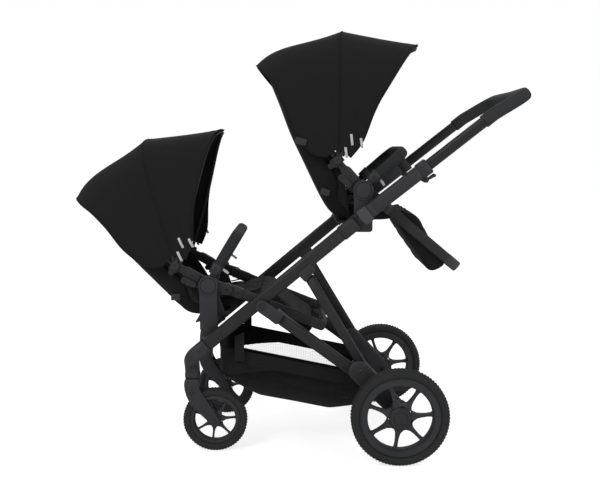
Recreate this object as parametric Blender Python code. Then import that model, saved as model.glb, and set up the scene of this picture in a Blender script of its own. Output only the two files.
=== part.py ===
"""Tandem double stroller: two seats, one above and behind the other, on a folding chassis.

Metres, +Z up, floor at z = 0. The stroller faces -X. Left is -Y. Every X follows REAR_AXLE_X.
"""

import math

import bmesh
import bpy
from mathutils import Vector

for thing in list(bpy.data.objects):
    bpy.data.objects.remove(thing, do_unlink=True)

# Driving dimensions
REAR_AXLE_X = 0.2945
REAR_WHEEL_R = 0.140
REAR_TYRE_W = 0.045
REAR_WHEEL_Y = 0.275
FRONT_WHEEL_R = 0.095
FRONT_TYRE_W = 0.033
FRONT_WHEEL_Y = 0.165
FRONT_AXLE_DX = -0.5346
CASTER_TRAIL = 0.0654
TUBE_Y = 0.205
TUBE_DEPTH = 0.038
TUBE_WIDTH = 0.031
TUBE_ANGLE = 39.8
TUBE_LENGTH = 0.6497
HANDLE_ANGLE = 38.3
HANDLE_REACH = 0.568
HOUSING_LENGTH = 0.225
SEAT_TILT = {"upper": 0.0, "lower": 18.0}
SEAT_HUB = {"upper": (TUBE_LENGTH + 0.0419, 0.0537), "lower": (0.1737, 0.1273)}
SHEET = 0.0025
GAP = 0.0004

ELBOW = (REAR_AXLE_X + FRONT_AXLE_DX - CASTER_TRAIL, 0.291)
Y_AXIS = Vector((0, 1, 0))


def colour_of(name):
    """The base colour and roughness that go with a node's name."""
    if "tyre" in name:
        return (0.030, 0.031, 0.032), 0.75
    if "rim" in name and "basket" not in name:
        return (0.042, 0.044, 0.049), 0.45
    if "canopy" in name or "pad" in name or "basket" in name:
        return (0.014, 0.014, 0.016), 0.95
    if "cover" in name:
        return (0.081, 0.081, 0.085), 0.4
    if "grip" in name or "bumper" in name:
        return (0.045, 0.047, 0.050), 0.7
    if "tube" in name or "leg" in name or "strut" in name or "handle" in name:
        return (0.024, 0.024, 0.026), 0.5
    return (0.042, 0.042, 0.047), 0.5


def solid(name, points, faces):
    """A closed mesh object with its faces turned outwards and its own material."""
    mesh = bpy.data.meshes.new(name)
    mesh.from_pydata([tuple(p) for p in points], [], faces)
    shaped = bmesh.new()
    shaped.from_mesh(mesh)
    bmesh.ops.remove_doubles(shaped, verts=shaped.verts, dist=1e-6)
    bmesh.ops.recalc_face_normals(shaped, faces=shaped.faces)
    if shaped.calc_volume(signed=True) < 0:
        bmesh.ops.reverse_faces(shaped, faces=shaped.faces)
    shaped.to_mesh(mesh)
    shaped.free()
    made = bpy.data.objects.new(name, mesh)
    bpy.context.scene.collection.objects.link(made)
    rgb, rough = colour_of(name)
    slot = bpy.data.materials.new(name)
    slot.use_nodes = True
    shader = slot.node_tree.nodes["Principled BSDF"]
    shader.inputs["Base Color"].default_value = (*rgb, 1)
    shader.inputs["Roughness"].default_value = rough
    mesh.materials.append(slot)
    return made


def combine(base, others, operation):
    """Applies exact booleans one after the other and removes the helpers."""
    for other in others:
        step = base.modifiers.new("step", "BOOLEAN")
        step.operation = operation
        step.solver = "EXACT"
        step.object = other
        bpy.context.view_layer.update()
        graph = bpy.context.evaluated_depsgraph_get()
        result = bpy.data.meshes.new_from_object(base.evaluated_get(graph))
        base.modifiers.remove(step)
        slot = base.data.materials[0]
        base.data = result
        result.materials.clear()
        result.materials.append(slot)
        for face in result.polygons:
            face.material_index = 0
        bpy.data.objects.remove(other, do_unlink=True)
    return base


def fuse(base, *others):
    return combine(base, others, "UNION")


def cut(base, *others):
    return combine(base, others, "DIFFERENCE")


def mirrored(source, name):
    """The other side's piece: the same mesh with Y turned round."""
    points = [Vector((v.co.x, -v.co.y, v.co.z)) for v in source.data.vertices]
    faces = [list(f.vertices)[::-1] for f in source.data.polygons]
    return solid(name, points, faces)


def on_line(start, angle, along, aside=0.0):
    """A point in the side view: so far along a direction, and so far to its left."""
    a = math.radians(angle)
    x = start[0] + along * math.cos(a) - aside * math.sin(a)
    z = start[1] + along * math.sin(a) + aside * math.cos(a)
    return (x, z)


def in_space(point, y):
    return Vector((point[0], y, point[1]))


def oval(half_n, half_b, sides=12, power=2.6):
    """A rounded section: half_n along the path's normal, half_b across it."""
    section = []
    for k in range(sides):
        a = 2 * math.pi * (k + 0.5) / sides
        c, s = math.cos(a), math.sin(a)
        section.append((
            half_n * math.copysign(abs(c) ** (2 / power), c),
            half_b * math.copysign(abs(s) ** (2 / power), s),
        ))
    return section


def fillet(points, radius, steps=5):
    """The path with each inner corner rounded by an arc."""
    points = [Vector(p) for p in points]
    path = [points[0]]
    for before, corner, after in zip(points, points[1:], points[2:]):
        u = (before - corner).normalized()
        v = (after - corner).normalized()
        turn = math.pi - u.angle(v)
        if turn < 0.12:
            path.append(corner)
            continue
        reach = min(radius * math.tan(turn / 2), (before - corner).length * 0.49,
                    (after - corner).length * 0.49)
        for k in range(steps + 1):
            t = k / steps
            path.append(corner + u * reach * (1 - t) ** 2 + v * reach * t ** 2)
    path.append(points[-1])
    return path


def frames(path, side, normal):
    """The tangent, normal and crosswise direction at each point of a path."""
    found = []
    for k, point in enumerate(path):
        ahead = path[min(k + 1, len(path) - 1)] - point
        behind = point - path[max(k - 1, 0)]
        t = ahead.normalized() + behind.normalized()
        t.normalize()
        if normal is None:
            b = (side - side.dot(t) * t).normalized()
            n = b.cross(t)
        else:
            n = (normal - normal.dot(t) * t).normalized()
            b = t.cross(n)
        found.append((point, t, n, b))
    return found


def sweep(name, path, section, side=Y_AXIS, normal=None, bore=None, scales=None):
    """A section drawn along a path: a solid bar, or a pipe where a bore section is given."""
    found = frames([Vector(p) for p in path], side, normal)
    loops = [section] if bore is None else [section, bore]
    points = []
    for k, (point, _, n, b) in enumerate(found):
        scale = scales[k] if scales else (1, 1)
        for loop in loops:
            for u, v in loop:
                points.append(point + n * u * scale[0] + b * v * scale[1])
    size = len(section)
    row = size * len(loops)
    last = (len(found) - 1) * row
    faces = []
    for k in range(len(found) - 1):
        for ring in range(len(loops)):
            start = k * row + ring * size
            for j in range(size):
                i = (j + 1) % size
                faces.append((start + j, start + i, start + row + i, start + row + j))
    for end in (0, last):
        if bore is None:
            faces.append([end + j for j in range(size)])
        else:
            for j in range(size):
                i = (j + 1) % size
                faces.append((end + j, end + i, end + size + i, end + size + j))
    return solid(name, points, faces)


def bar(name, start, end, y, half_n, half_b, sides=12, power=2.6):
    return sweep(name, [in_space(start, y), in_space(end, y)], oval(half_n, half_b, sides, power))


def inset(outline, by):
    """The outline moved inwards by a distance along its corner normals."""
    area = sum(a[0] * b[1] - b[0] * a[1] for a, b in zip(outline, outline[1:] + outline[:1]))
    way = 1 if area > 0 else -1
    moved = []
    for k, point in enumerate(outline):
        before = Vector(outline[k - 1])
        after = Vector(outline[(k + 1) % len(outline)])
        here = Vector(point)
        d = (here - before).normalized() + (after - here).normalized()
        d.normalize()
        moved.append((here.x - way * d.y * by, here.y + way * d.x * by))
    return moved


def prism(name, outline, y0, y1, edge=0.0012):
    """A plate with chamfered edges: an outline in the side view between two Y planes."""
    lo, hi = min(y0, y1), max(y0, y1)
    if edge:
        inner = inset(outline, edge)
        rings = [(inner, lo), (outline, lo + edge), (outline, hi - edge), (inner, hi)]
    else:
        rings = [(outline, lo), (outline, hi)]
    size = len(outline)
    points = [Vector((x, y, z)) for ring, y in rings for x, z in ring]
    faces = []
    for k in range(len(rings) - 1):
        for j in range(size):
            i = (j + 1) % size
            faces.append((k * size + j, k * size + i, (k + 1) * size + i, (k + 1) * size + j))
    faces.append(list(range(size)))
    faces.append([(len(rings) - 1) * size + j for j in range(size)])
    return solid(name, points, faces)


def arc(centre, radius, first, last, steps):
    """Points on a circle in the side view, between two angles in degrees."""
    found = []
    for k in range(steps + 1):
        a = math.radians(first + (last - first) * k / steps)
        found.append((centre[0] + radius * math.cos(a), centre[1] + radius * math.sin(a)))
    return found


def link_outline(a, ra, b, rb, steps=7):
    """The hull of two circles, as a lever or an arm has it."""
    way = math.degrees(math.atan2(b[1] - a[1], b[0] - a[0]))
    gap = math.hypot(b[0] - a[0], b[1] - a[1])
    lean = math.degrees(math.asin((ra - rb) / gap))
    return (arc(b, rb, way - 90 + lean, way + 90 - lean, steps)
            + arc(a, ra, way + 90 - lean, way + 270 + lean, steps))


def disc(name, centre, radius, y0, y1, steps=24, edge=0.0):
    return prism(name, arc(centre, radius, 0, 360 * (1 - 1 / steps), steps - 1), y0, y1, edge)


def revolve(name, profile, centre, steps=32):
    """A (radius, y) profile turned about the crosswise axis. Radius 0 is on the axis."""
    points = []
    for r, y in profile:
        for k in range(steps):
            a = 2 * math.pi * k / steps
            points.append(Vector((centre[0] + r * math.cos(a), y, centre[1] + r * math.sin(a))))
    size = len(profile)
    closed = profile[0][0] > 0 and profile[-1][0] > 0
    faces = []
    for k in range(size if closed else size - 1):
        after = (k + 1) % size
        for j in range(steps):
            i = (j + 1) % steps
            faces.append((k * steps + j, k * steps + i, after * steps + i, after * steps + j))
    return solid(name, points, faces)


# The skeleton in the side view: elbow, fold joint, strut pivot, leg catch, axles
JOINT = on_line(ELBOW, TUBE_ANGLE, TUBE_LENGTH)
STRUT_PIVOT = on_line(ELBOW, TUBE_ANGLE, 0.261, -0.013)
LEG_CATCH = on_line(ELBOW, TUBE_ANGLE, 0.418, -TUBE_DEPTH / 2 - 0.006)
REAR_AXLE = (REAR_AXLE_X, REAR_WHEEL_R)
LEG_FOOT = (REAR_AXLE_X - 0.107, REAR_WHEEL_R + 0.138)
STRUT_FOOT = (REAR_AXLE_X - 0.126, REAR_WHEEL_R + 0.112)
FRONT_AXLE = (REAR_AXLE_X + FRONT_AXLE_DX, FRONT_WHEEL_R)
SWIVEL_X = FRONT_AXLE[0] - CASTER_TRAIL

HALF_D = TUBE_DEPTH / 2
HALF_W = TUBE_WIDTH / 2
SOCKET_Z = FRONT_WHEEL_R + 0.1275
LUG_R = 0.0205
LUG_REACH = 0.031
INNER_LUG = (TUBE_Y - 0.0185, TUBE_Y + 0.0015)
OUTER_LUG = (TUBE_Y + 0.0020, TUBE_Y + 0.0195)
HANDLE_Y = TUBE_Y + 0.0025
PIN_R = 0.005
HANDLE_HALF_D = 0.0155
HANDLE_HALF_W = 0.0135


def tube_point(along, aside=0.0):
    return on_line(ELBOW, TUBE_ANGLE, along, aside)


def handle_point(along, aside=0.0):
    return on_line(JOINT, HANDLE_ANGLE, along, aside)


# Main tubes, each with the bore for the strut pivot
def tube_blank(name, grow):
    return bar(name, tube_point(0.030), tube_point(TUBE_LENGTH - 0.034 + grow), -TUBE_Y,
               HALF_D + grow, HALF_W + grow, 12, 3.2)


main_tube = cut(
    tube_blank("main_tube_l", 0.0),
    disc("bore", STRUT_PIVOT, PIN_R + 0.0003, -TUBE_Y - 0.03, -TUBE_Y - 0.002, 12),
)
mirrored(main_tube, "main_tube_r")

# Front yoke: sleeves that hold the tubes, turn down and inwards to the caster sockets, and a crossbar
ELBOW_PATH = fillet([
    in_space(tube_point(0.062), -TUBE_Y),
    in_space(tube_point(0.004), -TUBE_Y),
    Vector((SWIVEL_X, -FRONT_WHEEL_Y - 0.010, SOCKET_Z + 0.045)),
    Vector((SWIVEL_X, -FRONT_WHEEL_Y, SOCKET_Z + 0.020)),
    Vector((SWIVEL_X, -FRONT_WHEEL_Y, SOCKET_Z + GAP)),
], 0.045, 2)
CROSSBAR = (ELBOW[0] + 0.004, ELBOW[1] - 0.020)
elbow = sweep("front_yoke", ELBOW_PATH, oval(HALF_D + 0.0025, HALF_W + 0.003, 10, 2.8))
elbow = cut(
    elbow,
    bar("bore", tube_point(0.0296), tube_point(0.09), -TUBE_Y, HALF_D + 0.0003, HALF_W + 0.0003,
        12, 3.2),
    sweep("bore", [(SWIVEL_X, -FRONT_WHEEL_Y, SOCKET_Z - 0.01),
                   (SWIVEL_X, -FRONT_WHEEL_Y, SOCKET_Z + 0.031)], oval(0.0071, 0.0071, 10, 2)),
)
fuse(elbow, mirrored(elbow, "other"),
     disc("crossbar", CROSSBAR, 0.011, -FRONT_WHEEL_Y - 0.012, FRONT_WHEEL_Y + 0.012, 14))

# Casters: a stem in the socket, a crown over the wheel and two blades down to the axle
BLADE_Y = FRONT_TYRE_W / 2 + 0.0025
BLADE_T = 0.006


def caster(name):
    y = -FRONT_WHEEL_Y
    crown = prism(name, [
        (SWIVEL_X - 0.0215, SOCKET_Z), (SWIVEL_X - 0.0235, SOCKET_Z - 0.020),
        (SWIVEL_X - 0.0195, SOCKET_Z - 0.036), (SWIVEL_X + 0.020, SOCKET_Z - 0.034),
        (SWIVEL_X + 0.0215, SOCKET_Z),
    ], y - BLADE_Y - BLADE_T, y + BLADE_Y + BLADE_T, 0.003)
    blade = [
        (SWIVEL_X - 0.0210, SOCKET_Z - 0.006), (SWIVEL_X - 0.0225, SOCKET_Z - 0.020),
        (SWIVEL_X - 0.0180, SOCKET_Z - 0.048), (SWIVEL_X - 0.004, SOCKET_Z - 0.078),
        *arc(FRONT_AXLE, 0.0145, 215, 395, 6),
        (SWIVEL_X + 0.0340, SOCKET_Z - 0.050), (SWIVEL_X + 0.0195, SOCKET_Z - 0.020),
        (SWIVEL_X + 0.0195, SOCKET_Z - 0.006),
    ]
    blades = [
        prism("blade", blade, y + s * BLADE_Y, y + s * (BLADE_Y + BLADE_T), 0)
        for s in (-1, 1)
    ]
    stem = sweep("stem", [(SWIVEL_X, y, SOCKET_Z - 0.01), (SWIVEL_X, y, SOCKET_Z + 0.029)],
                 oval(0.0065, 0.0065, 10, 2))
    bolt = (SWIVEL_X + 0.001, SOCKET_Z - 0.038)
    return fuse(
        crown, *blades, stem,
        disc("axle", FRONT_AXLE, PIN_R, y - BLADE_Y - 0.0085, y + BLADE_Y + 0.0085, 10),
        disc("bolt", bolt, 0.0055, y - BLADE_Y - 0.0080, y - BLADE_Y - 0.002, 10),
    )


fork = caster("caster_fork_l")
mirrored(fork, "caster_fork_r")


# Wheels: a spoked rim with a blind hub bore, and a tyre round it
def rim(name, centre, y, outer, half, barrel, hub, spokes, first, bore, out):
    """A rim made as one plate: hub, flared spokes and barrel, each with its own thickness."""
    steps_gap = 2
    inner = outer - barrel
    rings = [hub, hub + 0.010, inner - 0.006, inner, inner + 0.0015, outer]
    thick = [0.62, 0.42, 0.30, 0.42, 1.0, 1.0]
    turn = 360 / spokes
    spread = [1.0, 0.45, 0.22, 0.40]
    points, index = [], {}

    def point(ring, angle, side):
        key = (ring, round(angle, 4), side)
        if key not in index:
            index[key] = len(points)
            a = math.radians(angle)
            points.append(Vector((centre[0] + rings[ring] * math.cos(a),
                                  y + side * half * thick[ring],
                                  centre[1] + rings[ring] * math.sin(a))))
        return index[key]

    faces = []
    for side in (-1, 1):
        index[("mid", side)] = len(points)
        points.append(Vector((centre[0], y + side * half * 0.62, centre[1])))
    for k in range(spokes):
        middle = first + k * turn
        spans = []
        for ring in range(6):
            if ring == 0 or ring > 3:
                wide = turn / 2
            else:
                wide = math.degrees(hub * math.tan(math.radians(turn / 2)) * spread[ring]
                                    / rings[ring])
            spans.append([middle - wide, middle + wide])
        arc_gap = [spans[3][1] + (turn - spans[3][1] + spans[3][0]) * j / steps_gap
                   for j in range(steps_gap + 1)]
        for side in (-1, 1):
            for j in range(1):
                faces.append((index[("mid", side)], point(0, spans[0][j] % 360, side),
                              point(0, spans[0][j + 1] % 360, side)))
            for ring in range(3):
                for j in range(1):
                    faces.append((point(ring, spans[ring][j] % 360, side),
                                  point(ring, spans[ring][j + 1] % 360, side),
                                  point(ring + 1, spans[ring + 1][j + 1] % 360, side),
                                  point(ring + 1, spans[ring + 1][j] % 360, side)))
            around = spans[3] + arc_gap[1:]
            for ring in (3, 4):
                for j in range(len(around) - 1):
                    faces.append((point(ring, around[j] % 360, side),
                                  point(ring, around[j + 1] % 360, side),
                                  point(ring + 1, around[j + 1] % 360, side),
                                  point(ring + 1, around[j] % 360, side)))
        for j in range(len(around) - 1):
            faces.append((point(5, around[j] % 360, -1), point(5, around[j + 1] % 360, -1),
                          point(5, around[j + 1] % 360, 1), point(5, around[j] % 360, 1)))
        for j in range(steps_gap):
            faces.append((point(3, arc_gap[j] % 360, -1), point(3, arc_gap[j + 1] % 360, -1),
                          point(3, arc_gap[j + 1] % 360, 1), point(3, arc_gap[j] % 360, 1)))
        for ring in range(3):
            for edge in (0, 1):
                faces.append((point(ring, spans[ring][edge] % 360, -1),
                              point(ring + 1, spans[ring + 1][edge] % 360, -1),
                              point(ring + 1, spans[ring + 1][edge] % 360, 1),
                              point(ring, spans[ring][edge] % 360, 1)))
    made = solid(name, points, faces)
    cap = revolve("cap", [(0, y - out * 0.002), (hub * 0.97, y - out * 0.002),
                          (hub * 0.97, y + out * half * 0.80), (hub * 0.80, y + out * half),
                          (0, y + out * half)], centre, 14)
    made = fuse(made, cap)
    if bore:
        made = cut(made, disc("bore", centre, bore, y - out * (half + 0.01), y + out * half * 0.70,
                              12))
    else:
        made = cut(made, disc("bore", centre, PIN_R + 0.0003, y - half - 0.01, y + half + 0.01, 10))
    return made


def tyre(name, centre, y, outer, inside, half, steps):
    """A tyre whose inner facets clear the rim's corners."""
    inner = inside / math.cos(math.pi / steps) + GAP
    profile = [
        (inner, y - half * 0.70), (inner + 0.006, y - half), (outer - 0.010, y - half * 0.96),
        (outer, y - half * 0.45), (outer, y + half * 0.45), (outer - 0.010, y + half * 0.96),
        (inner + 0.006, y + half), (inner, y + half * 0.70),
    ]
    return revolve(name, profile, centre, steps)


REAR_RIM_R = REAR_WHEEL_R - 0.0245
FRONT_RIM_R = FRONT_WHEEL_R - 0.0215
SPOKES = 7
FIRST_SPOKE = 5.2
rear_rim = rim("rear_rim_l", REAR_AXLE, -REAR_WHEEL_Y, REAR_RIM_R, REAR_TYRE_W * 0.42, 0.0235,
               0.032, SPOKES, FIRST_SPOKE, 0.0063, -1)
mirrored(rear_rim, "rear_rim_r")
rear_tyre = tyre("rear_tyre_l", REAR_AXLE, -REAR_WHEEL_Y, REAR_WHEEL_R, REAR_RIM_R,
                 REAR_TYRE_W / 2, 28)
mirrored(rear_tyre, "rear_tyre_r")
front_rim = rim("front_rim_l", FRONT_AXLE, -FRONT_WHEEL_Y, FRONT_RIM_R, FRONT_TYRE_W * 0.42,
                0.0135, 0.019, SPOKES, FIRST_SPOKE, None, -1)
mirrored(front_rim, "front_rim_r")
front_tyre = tyre("front_tyre_l", FRONT_AXLE, -FRONT_WHEEL_Y, FRONT_WHEEL_R, FRONT_RIM_R,
                  FRONT_TYRE_W / 2, 24)
mirrored(front_tyre, "front_tyre_r")


# Rear triangle: strut with its outboard pivot eye, leg with its saddle, axle housing with sockets
def strut_shape(name, grow):
    way = math.degrees(math.atan2(STRUT_FOOT[1] - STRUT_PIVOT[1], STRUT_FOOT[0] - STRUT_PIVOT[0]))
    top = on_line(STRUT_PIVOT, way, 0.048)
    return bar(name, top, STRUT_FOOT, -TUBE_Y, 0.0172 + grow, HALF_W - 0.001 + grow, 12, 3.2)


def leg_shape(name, grow):
    return bar(name, LEG_CATCH, LEG_FOOT, -TUBE_Y, 0.0142 + grow, HALF_W - 0.002 + grow, 12, 3.0)


STRUT_WAY = math.degrees(math.atan2(STRUT_FOOT[1] - STRUT_PIVOT[1],
                                    STRUT_FOOT[0] - STRUT_PIVOT[0]))
LEG_WAY = math.degrees(math.atan2(LEG_FOOT[1] - LEG_CATCH[1], LEG_FOOT[0] - LEG_CATCH[0]))
EYE_IN = TUBE_Y + HALF_W + 0.0025
EYE_OUT = EYE_IN + 0.0085
strut = fuse(
    strut_shape("lower_strut_l", 0.0),
    prism("shoe", [on_line(STRUT_PIVOT, STRUT_WAY, a, b) for a, b in
                   ((0.046, -0.0195), (0.082, -0.0195), (0.082, 0.0195), (0.046, 0.0195))],
          -TUBE_Y + HALF_W, -EYE_OUT + 0.0008, 0),
    prism("eye", link_outline(STRUT_PIVOT, 0.0185, on_line(STRUT_PIVOT, STRUT_WAY, 0.062),
                              0.0180, 5), -EYE_IN, -EYE_OUT, 0.0012),
    disc("pin", STRUT_PIVOT, PIN_R, -EYE_OUT + 0.003, -TUBE_Y - 0.0026, 10),
)
mirrored(strut, "lower_strut_r")

leg = leg_shape("rear_leg_l", 0.0)
leg = fuse(leg, prism("saddle", [
    tube_point(0.398, -HALF_D - 0.020), tube_point(0.442, -HALF_D - 0.014),
    tube_point(0.444, -HALF_D + 0.013), tube_point(0.400, -HALF_D + 0.013),
], -TUBE_Y - 0.0185, -TUBE_Y + 0.0185, 0.0015))
leg = cut(leg, bar("bore", tube_point(0.34), tube_point(0.50), -TUBE_Y, HALF_D + GAP,
                   HALF_W + GAP, 12, 3.2))
mirrored(leg, "rear_leg_r")

HOUSING_Y = (TUBE_Y - 0.0165, TUBE_Y + 0.0175)
KNEE = (REAR_AXLE_X - 0.112, REAR_WHEEL_R + 0.116)
housing = prism("axle_housing_l", link_outline(KNEE, 0.031, REAR_AXLE, 0.026, 6),
                -HOUSING_Y[0], -HOUSING_Y[1], 0.003)
housing = fuse(housing, revolve("drum", [
    (0, -HOUSING_Y[1] + 0.006), (0.034, -HOUSING_Y[1] + 0.006), (0.034, -HOUSING_Y[1] - 0.010),
    (0.030, -HOUSING_Y[1] - 0.020), (0.020, -HOUSING_Y[1] - 0.0275), (0, -HOUSING_Y[1] - 0.0285),
], REAR_AXLE, 13))
housing = cut(
    housing,
    bar("bore", on_line(STRUT_FOOT, STRUT_WAY, -0.08), on_line(STRUT_FOOT, STRUT_WAY, GAP),
        -TUBE_Y, 0.0172 + GAP, HALF_W - 0.001 + GAP, 12, 3.2),
    bar("bore", on_line(LEG_FOOT, LEG_WAY, -0.08), on_line(LEG_FOOT, LEG_WAY, GAP),
        -TUBE_Y, 0.0142 + GAP, HALF_W - 0.002 + GAP, 12, 3.0),
    disc("bore", REAR_AXLE, 0.0088, -0.30, -0.15, 14),
)
mirrored(housing, "axle_housing_r")

HALF_TRACK = REAR_WHEEL_Y + REAR_TYRE_W * 0.42 * 0.66
revolve("rear_axle", [
    (0, -HALF_TRACK), (0.006, -HALF_TRACK), (0.006, -TUBE_Y - 0.042), (0.0085, -TUBE_Y - 0.042),
    (0.0085, TUBE_Y + 0.042), (0.006, TUBE_Y + 0.042), (0.006, HALF_TRACK), (0, HALF_TRACK),
], REAR_AXLE, 14)

PEDAL_Y = 0.030
pedal = prism("brake_pedal", [
    *arc(REAR_AXLE, 0.0150, 60, 340, 10),
    on_line(REAR_AXLE, 0, 0.060, 0.000), on_line(REAR_AXLE, 0, 0.082, 0.014),
    on_line(REAR_AXLE, 0, 0.080, 0.022), on_line(REAR_AXLE, 0, 0.056, 0.010),
], -PEDAL_Y, PEDAL_Y, 0.0015)
cut(pedal, disc("bore", REAR_AXLE, 0.0092, -0.05, 0.05, 14))

# Fold joints: an inner lug on the main tube, an outer lug on the upper housing, one pin with a cover
UNDER = tube_point(TUBE_LENGTH - 0.085)
SLEEVE = (HALF_D + 0.0025, HALF_W + 0.003)
lug = bar("fold_lug_l", UNDER, tube_point(TUBE_LENGTH - LUG_REACH), -TUBE_Y, *SLEEVE, 12, 3.2)
lug = cut(lug, bar("bore", tube_point(0.4), tube_point(TUBE_LENGTH - 0.0335), -TUBE_Y,
                   HALF_D + 0.0003, HALF_W + 0.0003, 12, 3.2))
lug = fuse(lug, prism("lug", [
    *arc(JOINT, LUG_R, TUBE_ANGLE - 90, TUBE_ANGLE + 90, 10),
    tube_point(TUBE_LENGTH - LUG_REACH - 0.0015, LUG_R - 0.002),
    tube_point(TUBE_LENGTH - LUG_REACH - 0.0015, -LUG_R + 0.002),
], -INNER_LUG[0], -INNER_LUG[1], 0.0008))
lug = cut(lug, disc("bore", JOINT, PIN_R + 0.0003, -0.3, -0.1, 12))
mirrored(lug, "fold_lug_r")

UPPER = (0.0200, 0.0175)
COLLAR_AT = HOUSING_LENGTH - 0.032
COLLAR_PROUD = 0.0028
upper = bar("upper_housing_l", handle_point(LUG_REACH), handle_point(HOUSING_LENGTH - 0.006),
            -HANDLE_Y, *UPPER, 12, 3.6)
collar = bar("collar", handle_point(COLLAR_AT), handle_point(HOUSING_LENGTH), -HANDLE_Y,
             UPPER[0] + COLLAR_PROUD, UPPER[1] + 0.0022, 12, 3.6)
outer_lug = prism("lug", [
    *arc(JOINT, LUG_R, HANDLE_ANGLE + 90, HANDLE_ANGLE + 270, 10),
    handle_point(LUG_REACH + 0.002, -LUG_R + 0.002), handle_point(LUG_REACH + 0.002, LUG_R - 0.002),
], -OUTER_LUG[0], -OUTER_LUG[1], 0.0008)
TRIGGER_AT = COLLAR_AT + 0.004
shelf = prism("shelf", [
    handle_point(TRIGGER_AT - 0.016, -UPPER[0] + 0.003), handle_point(TRIGGER_AT + 0.006,
                                                                   -UPPER[0] + 0.003),
    handle_point(TRIGGER_AT + 0.006, -UPPER[0] - 0.013), handle_point(TRIGGER_AT - 0.008,
                                                                   -UPPER[0] - 0.017),
], -HANDLE_Y - 0.008, -HANDLE_Y + 0.008, 0.0015)
upper = fuse(upper, collar, outer_lug, shelf)
upper = cut(
    upper,
    bar("bore", handle_point(0.048), handle_point(HOUSING_LENGTH + 0.01), -HANDLE_Y,
        HANDLE_HALF_D + 0.0003, HANDLE_HALF_W + 0.0003, 10, 2.8),
    disc("bore", JOINT, PIN_R + 0.0003, -0.3, -0.1, 12),
)
mirrored(upper, "upper_housing_r")

COVER_Y = (-TUBE_Y - 0.0240, -TUBE_Y - 0.0290)
cover = prism("joint_cover_l", [handle_point(a, b) for a, b in
                                ((-0.010, -0.0235), (0.014, -0.0235), (0.014, 0.0235),
                                 (-0.014, 0.0235), (-0.014, -0.0195))], *COVER_Y, 0.0012)
cover = fuse(cover, disc("pin", JOINT, PIN_R, -TUBE_Y - 0.0250, -TUBE_Y + 0.0170, 12))
mirrored(cover, "joint_cover_r")

# Telescope triggers: each one sits against the shelf and squeezes towards the tube
TRIGGER_TRAVEL = 0.003
TRIGGER_TOP = -UPPER[0] - COLLAR_PROUD - TRIGGER_TRAVEL - 0.0010
trigger = prism("telescope_trigger_l", [
    handle_point(TRIGGER_AT + 0.0064, TRIGGER_TOP),
    handle_point(TRIGGER_AT + 0.0250, TRIGGER_TOP),
    handle_point(TRIGGER_AT + 0.0290, TRIGGER_TOP - 0.0070),
    handle_point(TRIGGER_AT + 0.0230, TRIGGER_TOP - 0.0110),
    handle_point(TRIGGER_AT + 0.0064, TRIGGER_TOP - 0.0070),
], -HANDLE_Y - 0.0075, -HANDLE_Y + 0.0075, 0.0010)
mirrored(trigger, "telescope_trigger_r")

# Push handle: one tube from housing to housing, with a soft grip on its bend
HANDLE_CORNER = on_line(JOINT, HANDLE_ANGLE - 1.4, HANDLE_REACH - 0.006)
HANDLE_BAR = on_line(JOINT, HANDLE_ANGLE - 1.9, HANDLE_REACH)
HANDLE_BEND = handle_point(0.455)


def handle_path(start):
    return fillet([
        in_space(handle_point(start), -HANDLE_Y),
        in_space(HANDLE_BEND, -HANDLE_Y),
        in_space(HANDLE_CORNER, -HANDLE_Y + 0.006),
        in_space(HANDLE_BAR, 0),
        in_space(HANDLE_CORNER, HANDLE_Y - 0.006),
        in_space(HANDLE_BEND, HANDLE_Y),
        in_space(handle_point(start), HANDLE_Y),
    ], 0.095, 3)


HANDLE_NORMAL = Vector((-math.sin(math.radians(HANDLE_ANGLE)), 0,
                        math.cos(math.radians(HANDLE_ANGLE))))
sweep("push_handle", handle_path(0.160), oval(HANDLE_HALF_D, HANDLE_HALF_W, 10, 2.8),
      normal=HANDLE_NORMAL)
sweep("handle_grip", handle_path(0.418), oval(0.0188, 0.0170, 10, 2.6), normal=HANDLE_NORMAL,
      bore=oval(HANDLE_HALF_D + 0.0006, HANDLE_HALF_W + 0.0006, 10, 2.8))


def sheet(name, outer, inner):
    """A thin closed body from two matching grids of points, its rim joined all the way round."""
    rows, columns = len(outer), len(outer[0])
    points = [p for row in outer for p in row] + [p for row in inner for p in row]
    half = rows * columns
    faces = []
    for i in range(rows - 1):
        for j in range(columns - 1):
            a = i * columns + j
            quad = (a, a + 1, a + columns + 1, a + columns)
            faces.append(quad)
            faces.append(tuple(half + k for k in reversed(quad)))
    rim_loop = (
        [(0, j) for j in range(columns)] + [(i, columns - 1) for i in range(1, rows)]
        + [(rows - 1, j) for j in range(columns - 2, -1, -1)] + [(i, 0) for i in range(rows - 2, 0, -1)]
    )
    loop = [i * columns + j for i, j in rim_loop]
    for a, b in zip(loop, loop[1:] + loop[:1]):
        faces.append((a, b, half + b, half + a))
    return solid(name, points, faces)


def cushion(name, outline, half_y, steps=((1.0, 0.82), (0.94, 0.93), (0.70, 0.985))):
    """A soft slab: an outline in the side view, drawn in towards its two ends."""
    middle = (sum(p[0] for p in outline) / len(outline), sum(p[1] for p in outline) / len(outline))
    stations = [(-y, s) for y, s in steps] + [(0, 1.0)] + [(y, s) for y, s in reversed(steps)]
    size = len(outline)
    points, faces = [], []
    for y, scale in stations:
        for x, z in outline:
            points.append(Vector((middle[0] + (x - middle[0]) * scale, y * half_y,
                                  middle[1] + (z - middle[1]) * scale)))
    for k in range(len(stations) - 1):
        for j in range(size):
            i = (j + 1) % size
            faces.append((k * size + j, k * size + i, (k + 1) * size + i, (k + 1) * size + j))
    faces.append(list(range(size)))
    faces.append([(len(stations) - 1) * size + j for j in range(size)])
    return solid(name, points, faces)


# Basket: a rim band, a net panel on each side and a fabric tub that hangs under them
BASKET = (REAR_AXLE_X - 0.523, REAR_AXLE_X - 0.078)
RIM_BAND = 0.040
NET_DEPTH = 0.044
BASKET_HALF = FRONT_WHEEL_Y + 0.003


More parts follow.
